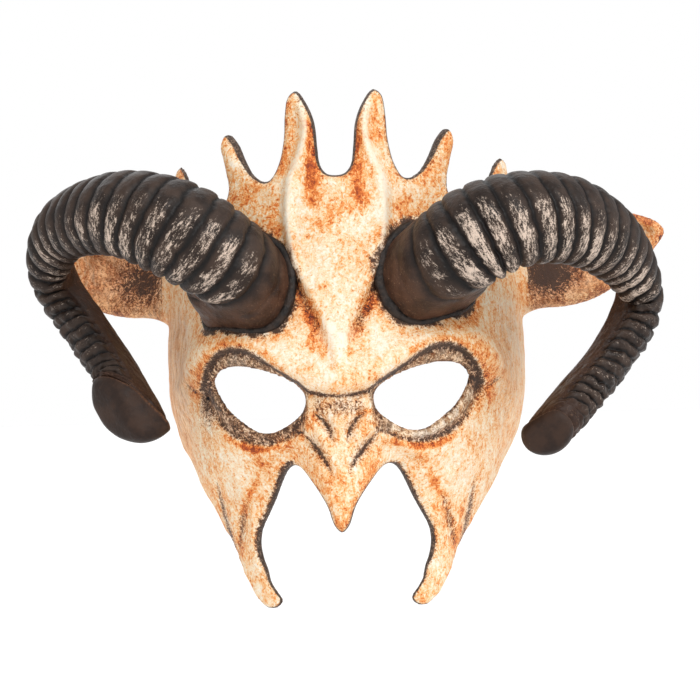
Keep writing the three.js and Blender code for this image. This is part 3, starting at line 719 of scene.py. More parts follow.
class Paint:
    """A material's nodes, made by short calls; colours are screen colours."""

    def __init__(self, name, **shader):
        self.material = bpy.data.materials.new(name)
        self.material.use_nodes = True
        self.tree = self.material.node_tree
        self.shader = self.tree.nodes["Principled BSDF"]
        self.place = self.node("TexCoord", "Object")
        for key, value in shader.items():
            self.shader.inputs[key.replace("_", " ")].default_value = value

    def feed(self, socket, value):
        if isinstance(value, Signal):
            self.tree.links.new(value.socket, socket)
        elif socket.type == "RGBA":
            socket.default_value = screen(*value)
        else:
            socket.default_value = value

    def node(self, kind, output, inputs=None, **settings):
        """Adds a node, feeds its inputs and gives back one of its outputs."""
        made = self.tree.nodes.new("ShaderNode" + kind)
        for key, value in settings.items():
            setattr(made, key, value)
        for key, value in (inputs or {}).items():
            self.feed(made.inputs[key], value)
        return Signal(self, made.outputs[output])

    def mask(self, name):
        return self.node("Attribute", "Fac", attribute_name=name)

    def stretched(self, scale):
        return self.node("Mapping", "Vector", {"Vector": self.place, "Scale": scale})

    def cloud(self, size, detail=3, rough=0.55, place=None, bent=0):
        """Noise from 0 to 1 whose lumps are about size millimetres across."""
        shape = {"Scale": 1 / (size * MM), "Detail": detail, "Roughness": rough, "Distortion": bent}
        return self.node("TexNoise", "Fac", {"Vector": place or self.place, **shape})

    def math(self, operation, a, b=0.0):
        return self.node("Math", 0, {0: a, 1: b}, operation=operation)

    def ramp(self, value, low, high, to_low=0.0, to_high=1.0):
        ends = {"From Min": low, "From Max": high, "To Min": to_low, "To Max": to_high}
        return self.node("MapRange", "Result", {"Value": value, **ends}, interpolation_type="SMOOTHSTEP")

    def mix(self, share, a, b, kind="MIX"):
        return self.node("Mix", 2, {0: share, 6: a, 7: b}, data_type="RGBA", blend_type=kind)

    def bands(self, value, stops):
        """Colours over a value, given as (value, colour) stops."""
        colours = self.node("ValToRGB", "Color", {"Fac": value})
        elements = colours.socket.node.color_ramp.elements
        elements[0].position, elements[1].position = stops[0][0], stops[-1][0]
        elements[0].color, elements[1].color = screen(*stops[0][1]), screen(*stops[-1][1])
        for position, colour in stops[1:-1]:
            elements.new(position).color = screen(*colour)
        return colours

    def bump(self, height, distance, under=None):
        inputs = {"Distance": distance * MM, "Height": height}
        if under:
            inputs["Normal"] = under
        return self.node("Bump", "Normal", inputs)

    def finish(self, colour, roughness=None, normal=None):
        for key, value in (("Base Color", colour), ("Roughness", roughness), ("Normal", normal)):
            if value:
                self.feed(self.shader.inputs[key], value)
        return self.material


BONE_BANDS = [
    (0.28, (252, 240, 222)), (0.4, (249, 224, 190)), (0.5, (246, 203, 154)), (0.57, (241, 172, 102)),
    (0.65, (230, 130, 56)), (0.75, (192, 86, 32)), (0.86, (136, 60, 30)),
]
EAR_BANDS = [
    (0.34, (246, 200, 150)), (0.45, (230, 172, 122)), (0.54, (198, 140, 98)), (0.64, (150, 100, 70)),
    (0.78, (96, 62, 44)),
]
LID_BANDS = [
    (0.34, (52, 38, 30)), (0.45, (98, 68, 50)), (0.53, (150, 110, 82)), (0.61, (204, 164, 128)),
    (0.72, (236, 206, 172)),
]


def bone_paint():
    """Painted bone: an orange-brown mottled wash, umber wash and painted shade in the creases, painted
    highlights on ridges, worn edges and a dark lining.
    """
    p = Paint("bone", Specular_IOR_Level=0.3)
    patch = p.cloud(9, 2) - 0.5
    middling = p.cloud(3.6, 3, bent=0.8) - 0.5
    worms = p.cloud(1.7, 3, 0.6, bent=1.8)
    fine = p.cloud(0.9, 4, 0.7, bent=0.6)
    grit = p.cloud(0.5, 3, 0.7) - 0.5
    strokes = p.cloud(2.0, 3, 0.6, place=p.stretched((1, 1, 0.4)), bent=1.0) - 0.5
    grain = p.cloud(1.6, 4, 0.65, place=p.stretched((1, 1, 0.1)), bent=0.3)
    warm, pale, dark, side = p.mask("warm"), p.mask("pale"), p.mask("dark"), p.mask("side")

    heat = warm + (1.1 * patch + 0.8 * middling)
    # The pale mask is painted highlight: it lightens the tone and turns it towards cream.
    tone = 0.7 * (worms + 0.214) + (0.35 * (fine - 0.5) + 0.34 * (heat - 0.5)) + 0.5 * strokes - 0.12 * pale
    colour = p.mix(p.ramp(pale, 0.6, 1.0, 0, 0.6), p.bands(tone, BONE_BANDS), (252, 238, 214))
    side_colour = p.mix(p.ramp(grain, 0.36, 0.62), (200, 126, 82), (255, 208, 160))
    colour = p.mix(0.62 * side, colour, side_colour)
    ear_tone = 0.7 * (grain + 0.28) + (0.7 * (worms - 0.5) + 0.5 * patch)
    colour = p.mix(0.8 * p.mask("ear"), colour, p.bands(ear_tone, EAR_BANDS))
    mottle = (1 - worms) - (1.1 * middling + 0.5 * (fine - 0.5))
    colour = p.mix(p.mask("socket") * (0.9 - 0.8 * pale), colour, p.bands(mottle, LID_BANDS))
    # The dark mask carries the umber wash and the painted shade in the creases, broken up by noise.
    broken = dark + (1.6 * (worms - 0.5) + (0.5 * middling + 0.9 * (fine - 0.5)) + 0.5 * grit)
    colour = p.mix(p.ramp(broken, 0.2, 0.7, 0, 0.75), colour, (166, 112, 74), "MULTIPLY")
    colour = p.mix(p.ramp(broken, 0.48, 0.82, 0, 0.93), colour, (56, 42, 34))
    edge_colour = p.mix(p.ramp(fine, 0.5, 0.66), (68, 52, 43), (150, 124, 104))
    colour = p.mix(p.ramp(p.mask("edge") + 0.8 * (fine - 0.5), 0.4, 0.65), colour, edge_colour)
    lining = p.mix(p.ramp(fine, 0.4, 0.6), (58, 48, 42), (78, 65, 56))
    colour = p.mix(p.mask("inside"), colour, lining)
    normal = p.bump(grain * side, 0.3, p.bump(fine, 0.3, p.bump(worms, 0.5)))
    return p.finish(colour, p.ramp(fine + 0.3 * dark, 0.2, 0.9, 0.66, 0.46), normal)


def horn_paint():
    """Near-black ribs with pale dry brushing on their crests and painted shade in the grooves between them,
    and a browner smooth side.
    """
    p = Paint("horn", Specular_IOR_Level=0.22)
    run = p.node("CombineXYZ", "Vector", {0: p.mask("length") * MM, 1: p.mask("round") * (0.28 * MM)})
    streak = p.cloud(0.75, 4, 0.75, place=run, bent=0.4)
    wide = p.cloud(9, 3)
    grit = p.cloud(0.5, 3, 0.7)
    smooth, brushed = p.mask("smooth"), p.mask("brush")

    brown = p.mix(p.ramp(wide, 0.35, 0.7), (52, 34, 25), (84, 57, 42))
    colour = p.mix(smooth, p.mix(p.ramp(wide, 0.35, 0.65), (36, 26, 21), (60, 46, 38)), brown)
    colour = p.mix(p.mask("low") * (0.55 * smooth), colour, (44, 27, 19))
    scratch = p.ramp(p.cloud(0.6, 3, 0.7, place=p.stretched((1, 0.4, 1)), bent=0.8), 0.6, 0.74)
    colour = p.mix(scratch * (0.7 * smooth), colour, (168, 132, 104))
    # Painted shade darkens the grooves between the ribs.
    colour = p.mix(0.85 * p.mask("groove_shade"), colour, (20, 16, 15))
    speckle = 0.65 * streak + 0.35 * grit
    brush = p.ramp(brushed + 4.2 * (speckle - 0.52), 0.4, 1.0) * p.ramp(brushed, 0.02, 0.3)
    colour = p.mix(0.88 * brush, colour, (222, 200, 182))
    normal = p.bump(p.cloud(3.5, 3), 0.6, p.bump(p.cloud(1.1, 4, 0.65), 0.16))
    return p.finish(colour, p.ramp(wide, 0.3, 0.7, 0.36, 0.54), normal)


def cap_paint():
    p = Paint("horn_cap", Specular_IOR_Level=0.2)
    wide = p.cloud(8, 3)
    colour = p.mix(p.ramp(wide, 0.35, 0.65), (40, 27, 21), (58, 41, 32))
    chips = p.cloud(1.0, 3, 0.7)
    colour = p.mix(p.ramp(chips, 0.68, 0.8, 0, 0.5), colour, (150, 126, 106))
    colour = p.mix(p.mask("rim") * p.ramp(chips, 0.42, 0.6, 0.25, 1), colour, (128, 88, 64))
    return p.finish(colour, p.ramp(wide, 0.3, 0.7, 0.42, 0.58), p.bump(p.cloud(2.2, 4), 0.4))


def collar_paint():
    p = Paint("collar", Specular_IOR_Level=0.3)
    wide = p.cloud(4, 3)
    colour = p.mix(p.ramp(wide, 0.4, 0.6), (24, 18, 15), (48, 37, 31))
    colour = p.mix(p.ramp(p.cloud(1.2, 3, 0.7), 0.66, 0.8, 0, 0.6), colour, (140, 120, 104))
    return p.finish(colour, p.ramp(wide, 0.3, 0.7, 0.34, 0.5), p.bump(p.cloud(1.6, 4, bent=1.0), 0.7))


def foam_paint():
    p = Paint("foam_cloth", Roughness=0.95, Sheen_Weight=0.35, Specular_IOR_Level=0.2)
    knit = p.cloud(0.9, 2, 0.5)
    colour = p.mix(p.ramp(knit, 0.4, 0.6), (38, 38, 41), (60, 60, 64))
    colour = p.mix(p.ramp(p.cloud(9, 2), 0.4, 0.7, 0, 0.35), colour, (76, 74, 74))
    return p.finish(colour, normal=p.bump(knit, 0.3))


def webbing_paint():
    p = Paint("webbing", Roughness=0.8, Sheen_Weight=0.2, Specular_IOR_Level=0.25)
    ribs = p.math("SINE", p.mask("cross") * (2 * math.pi / 1.25))
    weft = p.math("SINE", p.mask("run") * (2 * math.pi / 1.0))
    level = p.ramp(0.6 * ribs + 0.4 * (ribs * weft), -0.9, 0.9)
    colour = p.mix(level, (16, 16, 18), (46, 46, 50))
    colour = p.mix(p.ramp(p.cloud(6, 3), 0.5, 0.8, 0, 0.3), colour, (74, 72, 72))
    return p.finish(colour, normal=p.bump(level, 0.3))


def thread_paint():
    p = Paint("thread", Roughness=0.6)
    colour = p.mix(p.cloud(0.5, 2), (50, 50, 54), (88, 88, 92))
    return p.finish(colour, normal=p.bump(p.cloud(0.3, 2), 0.1))


def steel_paint():
    p = Paint("steel", Metallic=1.0)
    worn = p.cloud(1.2, 4, 0.7)
    colour = p.mix(p.ramp(worn, 0.4, 0.7), (176, 174, 168), (138, 132, 124))
    return p.finish(colour, p.ramp(worn, 0.3, 0.7, 0.28, 0.46), p.bump(p.cloud(0.5, 2), 0.03))


def plastic_paint():
    p = Paint("plastic", Specular_IOR_Level=0.4)
    grain = p.cloud(0.6, 3)
    colour = p.mix(p.ramp(p.cloud(7, 3), 0.4, 0.7), (22, 22, 23), (38, 38, 39))
    return p.finish(colour, p.ramp(grain, 0.3, 0.7, 0.36, 0.5), p.bump(grain, 0.06))


def floor_paint():
    p = Paint("floor", Roughness=0.9, Specular_IOR_Level=0.1)
    return p.finish(p.mix(p.cloud(400, 2), (247, 247, 247), (249.3, 249.3, 249.3)))


BONE, HORN, CAP, COLLAR = bone_paint(), horn_paint(), cap_paint(), collar_paint()
FOAM, WEBBING, THREAD = foam_paint(), webbing_paint(), thread_paint()
STEEL, PLASTIC = steel_paint(), plastic_paint()


def settle(made, material, body, slot, *nodes):
    """Gives a new piece its paint, its body and the CAD nodes that it stands for; slot is not used."""
    made.data.materials.clear()
    made.data.materials.append(material)
    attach(made, body)
    if nodes:
        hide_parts(*nodes)


# ---------------------------------------------------------------- horns

HORN_SEGMENTS = 112
HORN_RINGS = 480
DISC_RINGS = 9  # that close a horn's foot
FOOT_SUNK = 1.2  # how far a horn's foot goes into the shell's wall
FRONT = np.array([0.0, -0.93, -0.34])  # the way that the brushed sides of the horns look
RIB_DEEP = 1.9
RIBS_FROM = {"left": 0.105, "right": 0.1}  # shares of the horns' lengths
RIBS_TO = 0.965
BRUSHED = {"left": 0.28, "right": 0.4}  # how fully the pale brushing covers the ribs
HORN_SEED = {"left": 5, "right": 11}
RIB_PITCH = through([
    (0.1, 6.5), (0.2, 6.9), (0.3, 7.6), (0.4, 8.5), (0.5, 8.2), (0.6, 7.0), (0.75, 6.2), (1, 5.2),
])
RIB_SLANT = through([(0.1, -0.12), (0.25, 0.02), (0.4, 0.22), (0.52, 0.34), (0.75, 0.45)])


class Horn:
    """A horn's middle line and section, over shares t of its length and angles from its smooth side."""

    def __init__(self, spec, side):
        self.side = side
        self.mirror = 1 if side == "left" else -1
        self.seed = HORN_SEED[side]
        self.path = catmull(spec["path"])
        self.width = along(spec["width"])
        ways = SMOOTH_SIDE + SMOOTH_SIDE[-1:] * (len(spec["path"]) - len(SMOOTH_SIDE))
        ways = np.array(ways) * (self.mirror, 1, 1)
        self.smooth = [along(ways[:, axis]) for axis in range(3)]
        self.facing = unit(np.array(spec["end_facing"], float))
        self.cap_thick = spec["cap_thick"]
        self.share = np.linspace(0, 1, 801)
        self.length = run_along(self.path(self.share))
        ribs = np.diff(self.length) / RIB_PITCH(self.share[1:])
        self.ribs = np.concatenate([[0], np.cumsum(ribs)])

    def axes(self, t):
        """The middle line, its direction, the ways inward and across, and half the width at shares."""
        tangent = unit(self.path(np.minimum(t + 1e-3, 1)) - self.path(np.maximum(t - 1e-3, 0)))
        inward = np.stack([s(t) for s in self.smooth], axis=1)
        inward = unit(inward - dot(inward, tangent) * tangent)
        return self.path(t), tangent, inward, np.cross(tangent, inward), self.width(t) / 2

    def surface(self, t, angle, detailed=True):
        """Points at shares and angles given as flat arrays, and what the paint needs to know of them."""
        middle, tangent, inward, across, half = self.axes(t)
        cosine = np.cos(angle)
        flat = (1 + (np.maximum(cosine, 0) / 0.76) ** 8) ** (-1 / 8)
        out = half * flat
        looks = {}
        if detailed:
            radial = inward * cosine[:, None] + across * np.sin(angle)[:, None]
            lift, looks = self.ribbing(t, angle, half, radial @ FRONT)
            out = out + lift
        deeper = 1 + (HORN_DEEPER - 1) * t
        radial = inward * (out * cosine)[:, None] + across * (out * np.sin(angle) * deeper)[:, None]
        plane = unit(tangent + (self.facing - tangent) * step(t, 0.82, 1)[:, None])
        looks["outward"] = unit(radial)
        return middle + radial - tangent * (dot(radial, plane) / dot(tangent, plane)), looks

    def ribbing(self, t, angle, half, front):
        """How far ribs stand out, most where the side faces the front, and the masks for paint."""
        cosine = np.cos(angle)
        turn = np.abs(np.pi - np.mod(angle, 2 * np.pi))  # from the horn's back
        at = np.stack([cosine * 3, np.sin(angle) * 3, t * 30], axis=1)
        run = np.interp(t, self.share, self.length)
        length = run - RIB_SLANT(t) * half * cosine
        length = length + 1.1 * noise(at, 1.6, self.seed) + 0.35 * noise(at * 3, 1.0, self.seed + 1)
        phase = np.interp(length, self.length, self.ribs)
        wave = np.abs(np.sin(np.pi * phase)) ** 0.55
        second = np.clip(np.sin(2 * np.pi * phase + 1.1), 0, 1) ** 6
        rib = np.floor(phase).astype(np.int64)
        strength = 0.85 + 0.3 * lattice(rib, 0 * rib, 3, self.seed)
        border = 2.9 - 0.35 * step(t, 0.25, 0.4) - step(t, 0.42, 0.6) * (0.15 + 0.8 * step(front, 0.1, -0.5))
        ribbed = step(turn, border + 0.2, border - 0.2)
        start = RIBS_FROM[self.side]
        here = ribbed * step(t, start - 0.015, start + 0.05) * step(t, RIBS_TO, RIBS_TO - 0.035)
        depth = RIB_DEEP * (0.55 + 0.45 * step(front, -0.1, 0.75)) * (1 - 0.15 * step(t, 0.55, 0.8))
        lift = here * (depth * strength * (wave - 0.62) - 0.6 * second)
        lumps = step(t, 0.5, 0.7) * ribbed
        lift = lift + lumps * 0.75 * noise(at * (1.4, 1.4, 3.0), 1.0, self.seed + 2)
        lift = lift - 1.3 * bell((self.length[-1] - run) / 2.2)
        lift = lift - 0.9 * bell((turn - border) / 0.12) * step(t, 0.45, 0.6) * step(t, 0.97, 0.93)
        lift = lift + 0.22 * noise(at * 1.7, 1.0, self.seed + 3)
        looks = {
            "wave": wave * here,
            # Where painted shade darkens the grooves between ribs.
            "groove_shade": here * step(wave, 0.72, 0.3) + 0.5 * here * second,
            "smooth": 1 - here,
        }
        return lift, looks


def foot_share(horn, angles, level):
    """The share of the horn's length at which its side comes out to level over the shell's skin."""
    shares = np.linspace(0, 0.34, 171)
    t, angle = (a.ravel() for a in np.meshgrid(shares, angles, indexing="ij"))
    points, _ = horn.surface(t, angle, detailed=False)
    theta, off = unwrap(*points.T)
    height = (off - outer_off(np.abs(theta), points[:, 2])).reshape(len(shares), len(angles))
    out = np.zeros(len(angles))
    for k in range(len(angles)):
        below = np.nonzero(height[:, k] < level)[0]
        i = min(below[-1], len(shares) - 2) if len(below) else 0
        low, high = height[i, k], height[i + 1, k]
        part = np.clip((level - low) / max(high - low, 1e-6), 0, 1)
        out[k] = shares[i] + (shares[1] - shares[0]) * part
    return out


def sunk_disc(loop):
    """Rings that close a loop along the shell's wall."""
    centre = loop.mean(0)
    rings = []
    for share in np.arange(1, DISC_RINGS + 1) / (DISC_RINGS + 1):
        points = centre + (loop - centre) * share
        theta, _ = unwrap(*points.T)
        rings.append(on_shell(theta, points[:, 2], outer_off(np.abs(theta), points[:, 2]) - FOOT_SUNK))
    return np.array(rings)


def make_horn(horn):
    """A horn's ribbed side with its closed foot."""
    angles = turns(HORN_SEGMENTS)
    start = foot_share(horn, angles, -FOOT_SUNK)
    shares = np.linspace(0, 1, HORN_RINGS)[:, None]
    t = (start + (1 - start) * shares).ravel()
    angle = np.tile(angles, HORN_RINGS)
    points, looks = horn.surface(t, angle)
    rings = points.reshape(HORN_RINGS, HORN_SEGMENTS, 3)
    disc = sunk_disc(rings[0])
    rings = np.concatenate([disc, rings])
    verts, faces = loft(rings)

    band = step(looks["outward"] @ FRONT, 0.3, 0.88)
    patch = 0.5 + 0.5 * noise(points, 7, horn.seed + 4)
    here = step(t, 0.11, 0.16) * (1 - 0.85 * step(t, 0.5, 0.66))
    brushed = BRUSHED[horn.side]
    brush = step(looks["wave"], 0.5, 0.9) * band * here * (brushed + 0.6 * patch)
    tips = step(looks["wave"], 0.75, 1) * (0.3 + 0.5 * band) * (0.4 + 0.6 * patch) * (0.3 + brushed)
    on_sides = {
        "brush": np.maximum(brush, tips),
        "groove_shade": looks["groove_shade"],
        "smooth": looks["smooth"],
        "length": np.interp(t, horn.share, horn.length),
        "round": np.abs(np.pi - angle) * 15,
        "low": step(t, 0.5, 0.6),
    }
    on_disc = np.zeros(disc.shape[0] * disc.shape[1])
    hubs = [0, 0]
    values = {name: np.concatenate([on_disc, looked, hubs]) for name, looked in on_sides.items()}
    made = face_outwards(make_object(f"horn_{horn.side}_ribbed", verts, faces, values))
    settle(made, HORN, "mask", "horn", f"horn_{horn.side}")


def make_cap(horn):
    """The domed end of a horn, fuller below than above."""
    last, _ = horn.surface(np.ones(HORN_SEGMENTS), turns(HORN_SEGMENTS), detailed=False)
    middle = last.mean(0)
    rise = np.linspace(0, 1, 34)
    rings = []
    for u in rise:
        lean = u * np.pi / 2
        scale = 1.03 * np.cos(lean) ** 0.45
        out = GAP + (horn.cap_thick - GAP) * np.sin(lean) ** 1.1
        if u < 0.06:
            scale = 0.97 + u
        if u > 0.999:
            scale = 0.01
        ring = middle + (last - middle) * scale
        fuller = 0.5 + 0.5 * step(ring[:, 2] - middle[2], 12, -6)
        rings.append(ring + horn.facing * (out * fuller)[:, None])
    verts, faces = loft(np.array(rings))
    verts = verts + horn.facing * (0.35 * noise(verts, 6, horn.seed))[:, None]
    rim = np.repeat(bell((rise - 0.05) / 0.035), HORN_SEGMENTS)
    values = {"rim": np.concatenate([0.8 * rim, [0, 0]])}
    made = face_outwards(make_object(f"horn_cap_{horn.side}_domed", verts, faces, values))
    settle(made, CAP, "mask", "horn_cap", f"horn_cap_{horn.side}")


def make_collar(horn):
    """The rolled ring round a horn's foot; gives back the line that it follows."""
    count, sides = 260, 18
    angles = turns(count)
    share = foot_share(horn, angles, 0.9)
    share = np.mean([np.roll(share, k) for k in range(-3, 4)], axis=0)
    line, looks = horn.surface(share, angles, detailed=False)
    theta, _ = unwrap(*line.T)
    up = on_shell(theta, line[:, 2], 1.0) - on_shell(theta, line[:, 2], 0.0)
    out = unit(looks["outward"] - dot(looks["outward"], up) * up)
    around = np.stack([np.cos(angles), np.sin(angles), 0 * angles], axis=1) * 8
    medial = step(line[:, 0] * horn.mirror, -52, -30)
    fat = 1.3 + 0.8 * medial + 0.45 * noise(around, 2.4, horn.seed)
    fat = fat + 0.12 * noise(around * 3, 1.0, horn.seed + 1)
    rings = []
    for a in turns(sides):
        ring = line + out * (0.5 + fat * 1.15 * np.cos(a))[:, None]
        ring = ring + up * (fat * np.sin(a) - 0.2)[:, None]
        rings.append(ring + out * (0.3 * noise(ring, 3.0, 3))[:, None])
    points = np.array(rings).transpose(1, 0, 2).reshape(-1, 3)
    made = make_object(f"horn_collar_{horn.side}_rolled", points, ring_faces(count, sides, closed=True))
    settle(face_outwards(made), COLLAR, "mask", "collar", f"horn_collar_{horn.side}")
    return line


COLLAR_LINES = []
for side, spec in HORNS.items():
    horn = Horn(spec, side)
    make_horn(horn)
    make_cap(horn)
    COLLAR_LINES.append(make_collar(horn))

# ---------------------------------------------------------------- face and ears


def near_collar(points):
    """Distance to the nearest horn foot."""
    best = np.full(len(points), 99.0)
    close = np.nonzero((points[:, 2] > 5) & (points[:, 2] < 95))[0]
    for line in COLLAR_LINES:
        for part in np.array_split(close, 12):
            gap = np.linalg.norm(points[part, None, :] - line[None, ::3, :], axis=2).min(1)
            best[part] = np.minimum(best[part], gap)
    return best


def most(*layers):
    """The greatest of some layers at each point."""
    return np.max(np.broadcast_arrays(*layers), axis=0)


def umber_wash_and_shade(points, right, foot, edge_in, eye):
    """Where the colour darkens to umber in creases, round the eyes and the horns' feet, and along edges:
    partly the mask's own umber wash, and partly painted shade in the creases, under the brow and in the
    eyes' outer corners.
    """
    side, z = np.abs(points[:, 0]), points[:, 2]
    crease, share, _ = line_distance(side, z, LID_CREASE)
    heavy = step(share, 0.42, 0.68)
    upper_lid = bell(crease / (1.0 + 1.3 * heavy)) * step(share, -0.2, 0.1)
    under, share, _ = line_distance(side, z, UNDER_LID)
    heavy = bell((side - 42) / 9) * (0.5 + 0.5 * right)
    lower_lid = (0.7 + 0.12 * heavy) * bell(under / (1.4 + 0.9 * heavy))
    lower_lid = lower_lid * (1 - 0.5 * right * step(share, 0.68, 0.85))
    around = socket(side, z)
    left = 1 - right
    v_line, v_share, _ = line_distance(side, z, SHIELD_CREASE)
    to_lip, share, _ = line_distance(side, z, LIP_LINE)
    lip_wide = 2.4 * (1 - 0.75 * share) * (1 - 0.35 * right) + 0.5 * noise(points, 1.3, 33)
    lip = step(edge_in, lip_wide + 0.7, lip_wide - 0.9) * step(to_lip, 9, 7) * step(side, 18, 21)
    in_edge = np.maximum(edge_in, 0)
    ragged = foot + 2.2 * noise(points, 3.5, 31) + 1.2 * noise(points, 1.3, 32)
    return most(
        0.95 * upper_lid,
        lower_lid,
        # Painted shade in the eyes' outer corners, heavier on the left.
        0.88 * bell((side - 56) / 4.2) * bell((z - 5 + 5 * left) / (8 + 4 * left)),
        around * (0.32 + 0.22 * left * step(z, 2, -4)),
        0.45 * around * bell(eye / 1.0),
        0.58 * blot(side, z, (15, -5), (3.2, 8)),
        0.92 * stroke(side, z, NOSTRIL, 1.2),
        # The wide halos beside the nose grooves are painted shade.
        0.5 * stroke(side, z, NOSTRIL, 2.88),
        0.92 * stroke(side, z, NOSE_FLANK, 1.3),
        0.5 * stroke(side, z, NOSE_FLANK, 3.12),
        # Painted shade under the brow, over the nose.
        0.75 * bell((z - 1.2 - side * side / 90) / 1.2) * step(side, 15, 10),
        0.54 * bell((z + 3) / 5.5) * step(side, 14, 8) * (z < 2),
        0.62 * bell(v_line / 2.6) * step(v_share, 1, 0.6),
        0.62 * stroke(side, z, PRONG_GROOVE, 2.0),
        0.7 * stroke(side, z, PRONG_FLUTE, 1.5),
        0.6 * near(side, z, TEMPLE_TAIL, 1.1),
        0.85 * lip,
        0.5 * bell(in_edge / 1.3) * (z < 40) * (side < 60),
        0.5 * bell(in_edge / 2.2) * (z > 76),
        step(ragged, 4.2 + 3.6 * step(side, 50, 30), 1.0),
    )


def warm_wash(points, foot, edge_in):
    """Where the wash is most orange: by creases and edges, in hollows, and up the crown."""
    x, side, z = points[:, 0], np.abs(points[:, 0]), points[:, 2]
    to_edge = shield_edge(z) - side
    calm = step(to_edge, 0, 5) * step(z, 34, 46) * step(z, 104, 84)
    calm = np.maximum(calm, 0.7 * bell((z - 24) / 14) * step(side, 46, 34))
    crease, _, above = line_distance(side, z, LID_CREASE)
    in_shield = step(to_edge, 1.5, 4.5) * step(z, 36, 48) * step(z, 120, 96)
    nose_flank = step(side, 3, 9) * step(side, 22, 15) * step(z, 0, -6) * step(z, -56, -48)
    return most(
        0.5 - 0.24 * calm + 0.22 * noise(points, 20, 21),
        0.9 * bell((crease - 3.2) / 2.6) * (above > 0) * step(side, 16, 34),
        1.25 * stroke(side, z, RED_BAG, 2.4),
        0.85 * stroke(side, z, CHEEK_WASH, 3.0),
        1.1 * blot(side, z, (9.5, 24), (4.5, 6)),
        1.1 * near(side, z, SHIELD_CREASE, 5) * (side > 4),
        in_shield * (0.34 + 0.4 * noise(points, 9, 22) + 0.1 * step(x, -4, 6)),
        1.1 * bell((side - 9) / 5) * step(z, 70, 84) * step(z, 128, 120),
        0.8 * blot(side, z, (27, 76), (7, 14)),
        step(z, 84, 94) * (0.63 + 0.3 * noise(points, 7, 23)),
        0.75 * bell((foot - 6) / 5),
        0.95 * blot(side, z, (62, 4), (4, 13)),
        0.6 * blot(side, z, (34, -26), (14, 7)),
        0.75 * near(side, z, CHEEK_FOLD, 6) * (z < -14),
        0.75 * bell(np.maximum(edge_in, 0) / 1.3),
        0.75 * near(side, z, PRONG_GROOVE, 5),
        0.63 * nose_flank,
    )


def painted_highlight(side, z, right):
    """Where painted highlights make the bone pale: on ridges and folds, the forehead and the lower lids."""
    to_edge = shield_edge(z) - side
    beside_ridge = step(to_edge, -0.5, 1.5) * step(to_edge, 8, 4) * step(z, 74, 60) * step(z, 36, 46)
    return most(
        bell((0.5 - to_edge) / 2.3) * step(z, 36, 56) * step(z, 131, 126),
        0.65 * beside_ridge,
        0.85 * blot(side, z, (0, 26), (17, 12)),
        (0.15 + 0.55 * right) * near(side, z, LOWER_LID, 2.0) * step(side, 17, 24),
        0.6 * near(side, z, CHEEK_FOLD, 1.8),
        0.7 * near(side, z, NOSTRIL_FOLD, 1.3),
        0.55 * near(side, z, NOSE_FOLD, 1.5),
        0.7 * bell((side - 34) / 17) * bell((z - 29 + side / 8) / 7),
        0.55 * blot(side, z, (45, -32), (8, 8)),
        0.5 * bell((side - 36) / 5) * step(z, -58, -68),
        0.75 * blot(side, z, (43.5, 98), (2.6, 10)),
        0.5 * blot(side, z, (0, -20), (2.6, 12)),
    )


def face_masks(points):
    """Where the colour is dark (umber wash and painted shade), warm or pale (painted highlight), and which
    points are on edges, sides, lids, ears or inside.
    """
    x, y, z = points.T
    side = np.abs(x)
    right = step(x, -2, 2)
    theta, off = unwrap(x, y, z)
    theta = np.abs(theta)
    middle, half = face_layers(theta, z, x)
    level = (off - middle) / half  # 1 on the outer skin, -1 on the inner one
    edge_in = from_map(EDGE, theta, z)
    soft = softness(z)
    round_share = np.clip(soft - edge_in, 0, soft) / soft
    foot = near_collar(points)

    on_ear = step(off - outer_off(theta, z), 1.5, 6) * step(side, 70, 78) * (z > 25) * (z < 86)
    front = 1 - on_ear
    # Painted shade darkens the ear's hollow, more on the right ear.
    ear_hollow_shade = blot(side, z, (88, 51), (15, 12)) * (1 + 0.25 * right)
    ear_rim = step(ear_edge(x, z), 5, 1.5) * step(side, 86, 96)
    dark = umber_wash_and_shade(points, right, foot, edge_in, from_map(TO_EYE, theta, z))
    warm = warm_wash(points, foot, edge_in)

    around = socket(side, z)
    off_lid = 1 - around * step(level, -0.8, -0.5)
    return {
        "dark": np.where(on_ear > 0.4, np.maximum(0.9 * ear_hollow_shade, 0.35 * ear_rim), dark),
        "warm": np.where(on_ear > 0.4, 0.55 + 0.4 * ear_rim, warm),
        "pale": painted_highlight(side, z, right) * front,
        "edge": step(round_share, 0.3, 0.75) * step(level, 0.8, 0.35) * front * off_lid,
        "side": step(side, 61, 68) * step(z, 48, 28) * front * (1 - 0.45 * right),
        "inside": step(level, -0.1, -0.55) * front * step(edge_in, 0, 1.2) * off_lid,
        "socket": around * front,
        "ear": on_ear * (1 - 0.6 * step(side, 108, 124)),
    }


def make_face():
    points, quads = surface_of(face_grid())
    made = make_object("face_shell_painted", points, quads, face_masks(points))
    settle(made, BONE, "mask", "bone", "face_shell", "ear_left", "ear_right")


make_face()

# ---------------------------------------------------------------- pads

PAD_VOXEL = 1.7 * MM
PAD_SHRINK = 0.9 * MM
PAD_MOST = 2.2 * MM  # the furthest that the cloth may swell


def change(made, kind, **settings):
    """Applies a modifier to the active piece."""
    modifier = made.modifiers.new("change", kind)
    for key, value in settings.items():
        setattr(modifier, key, value)
    bpy.ops.object.modifier_apply(modifier=modifier.name)


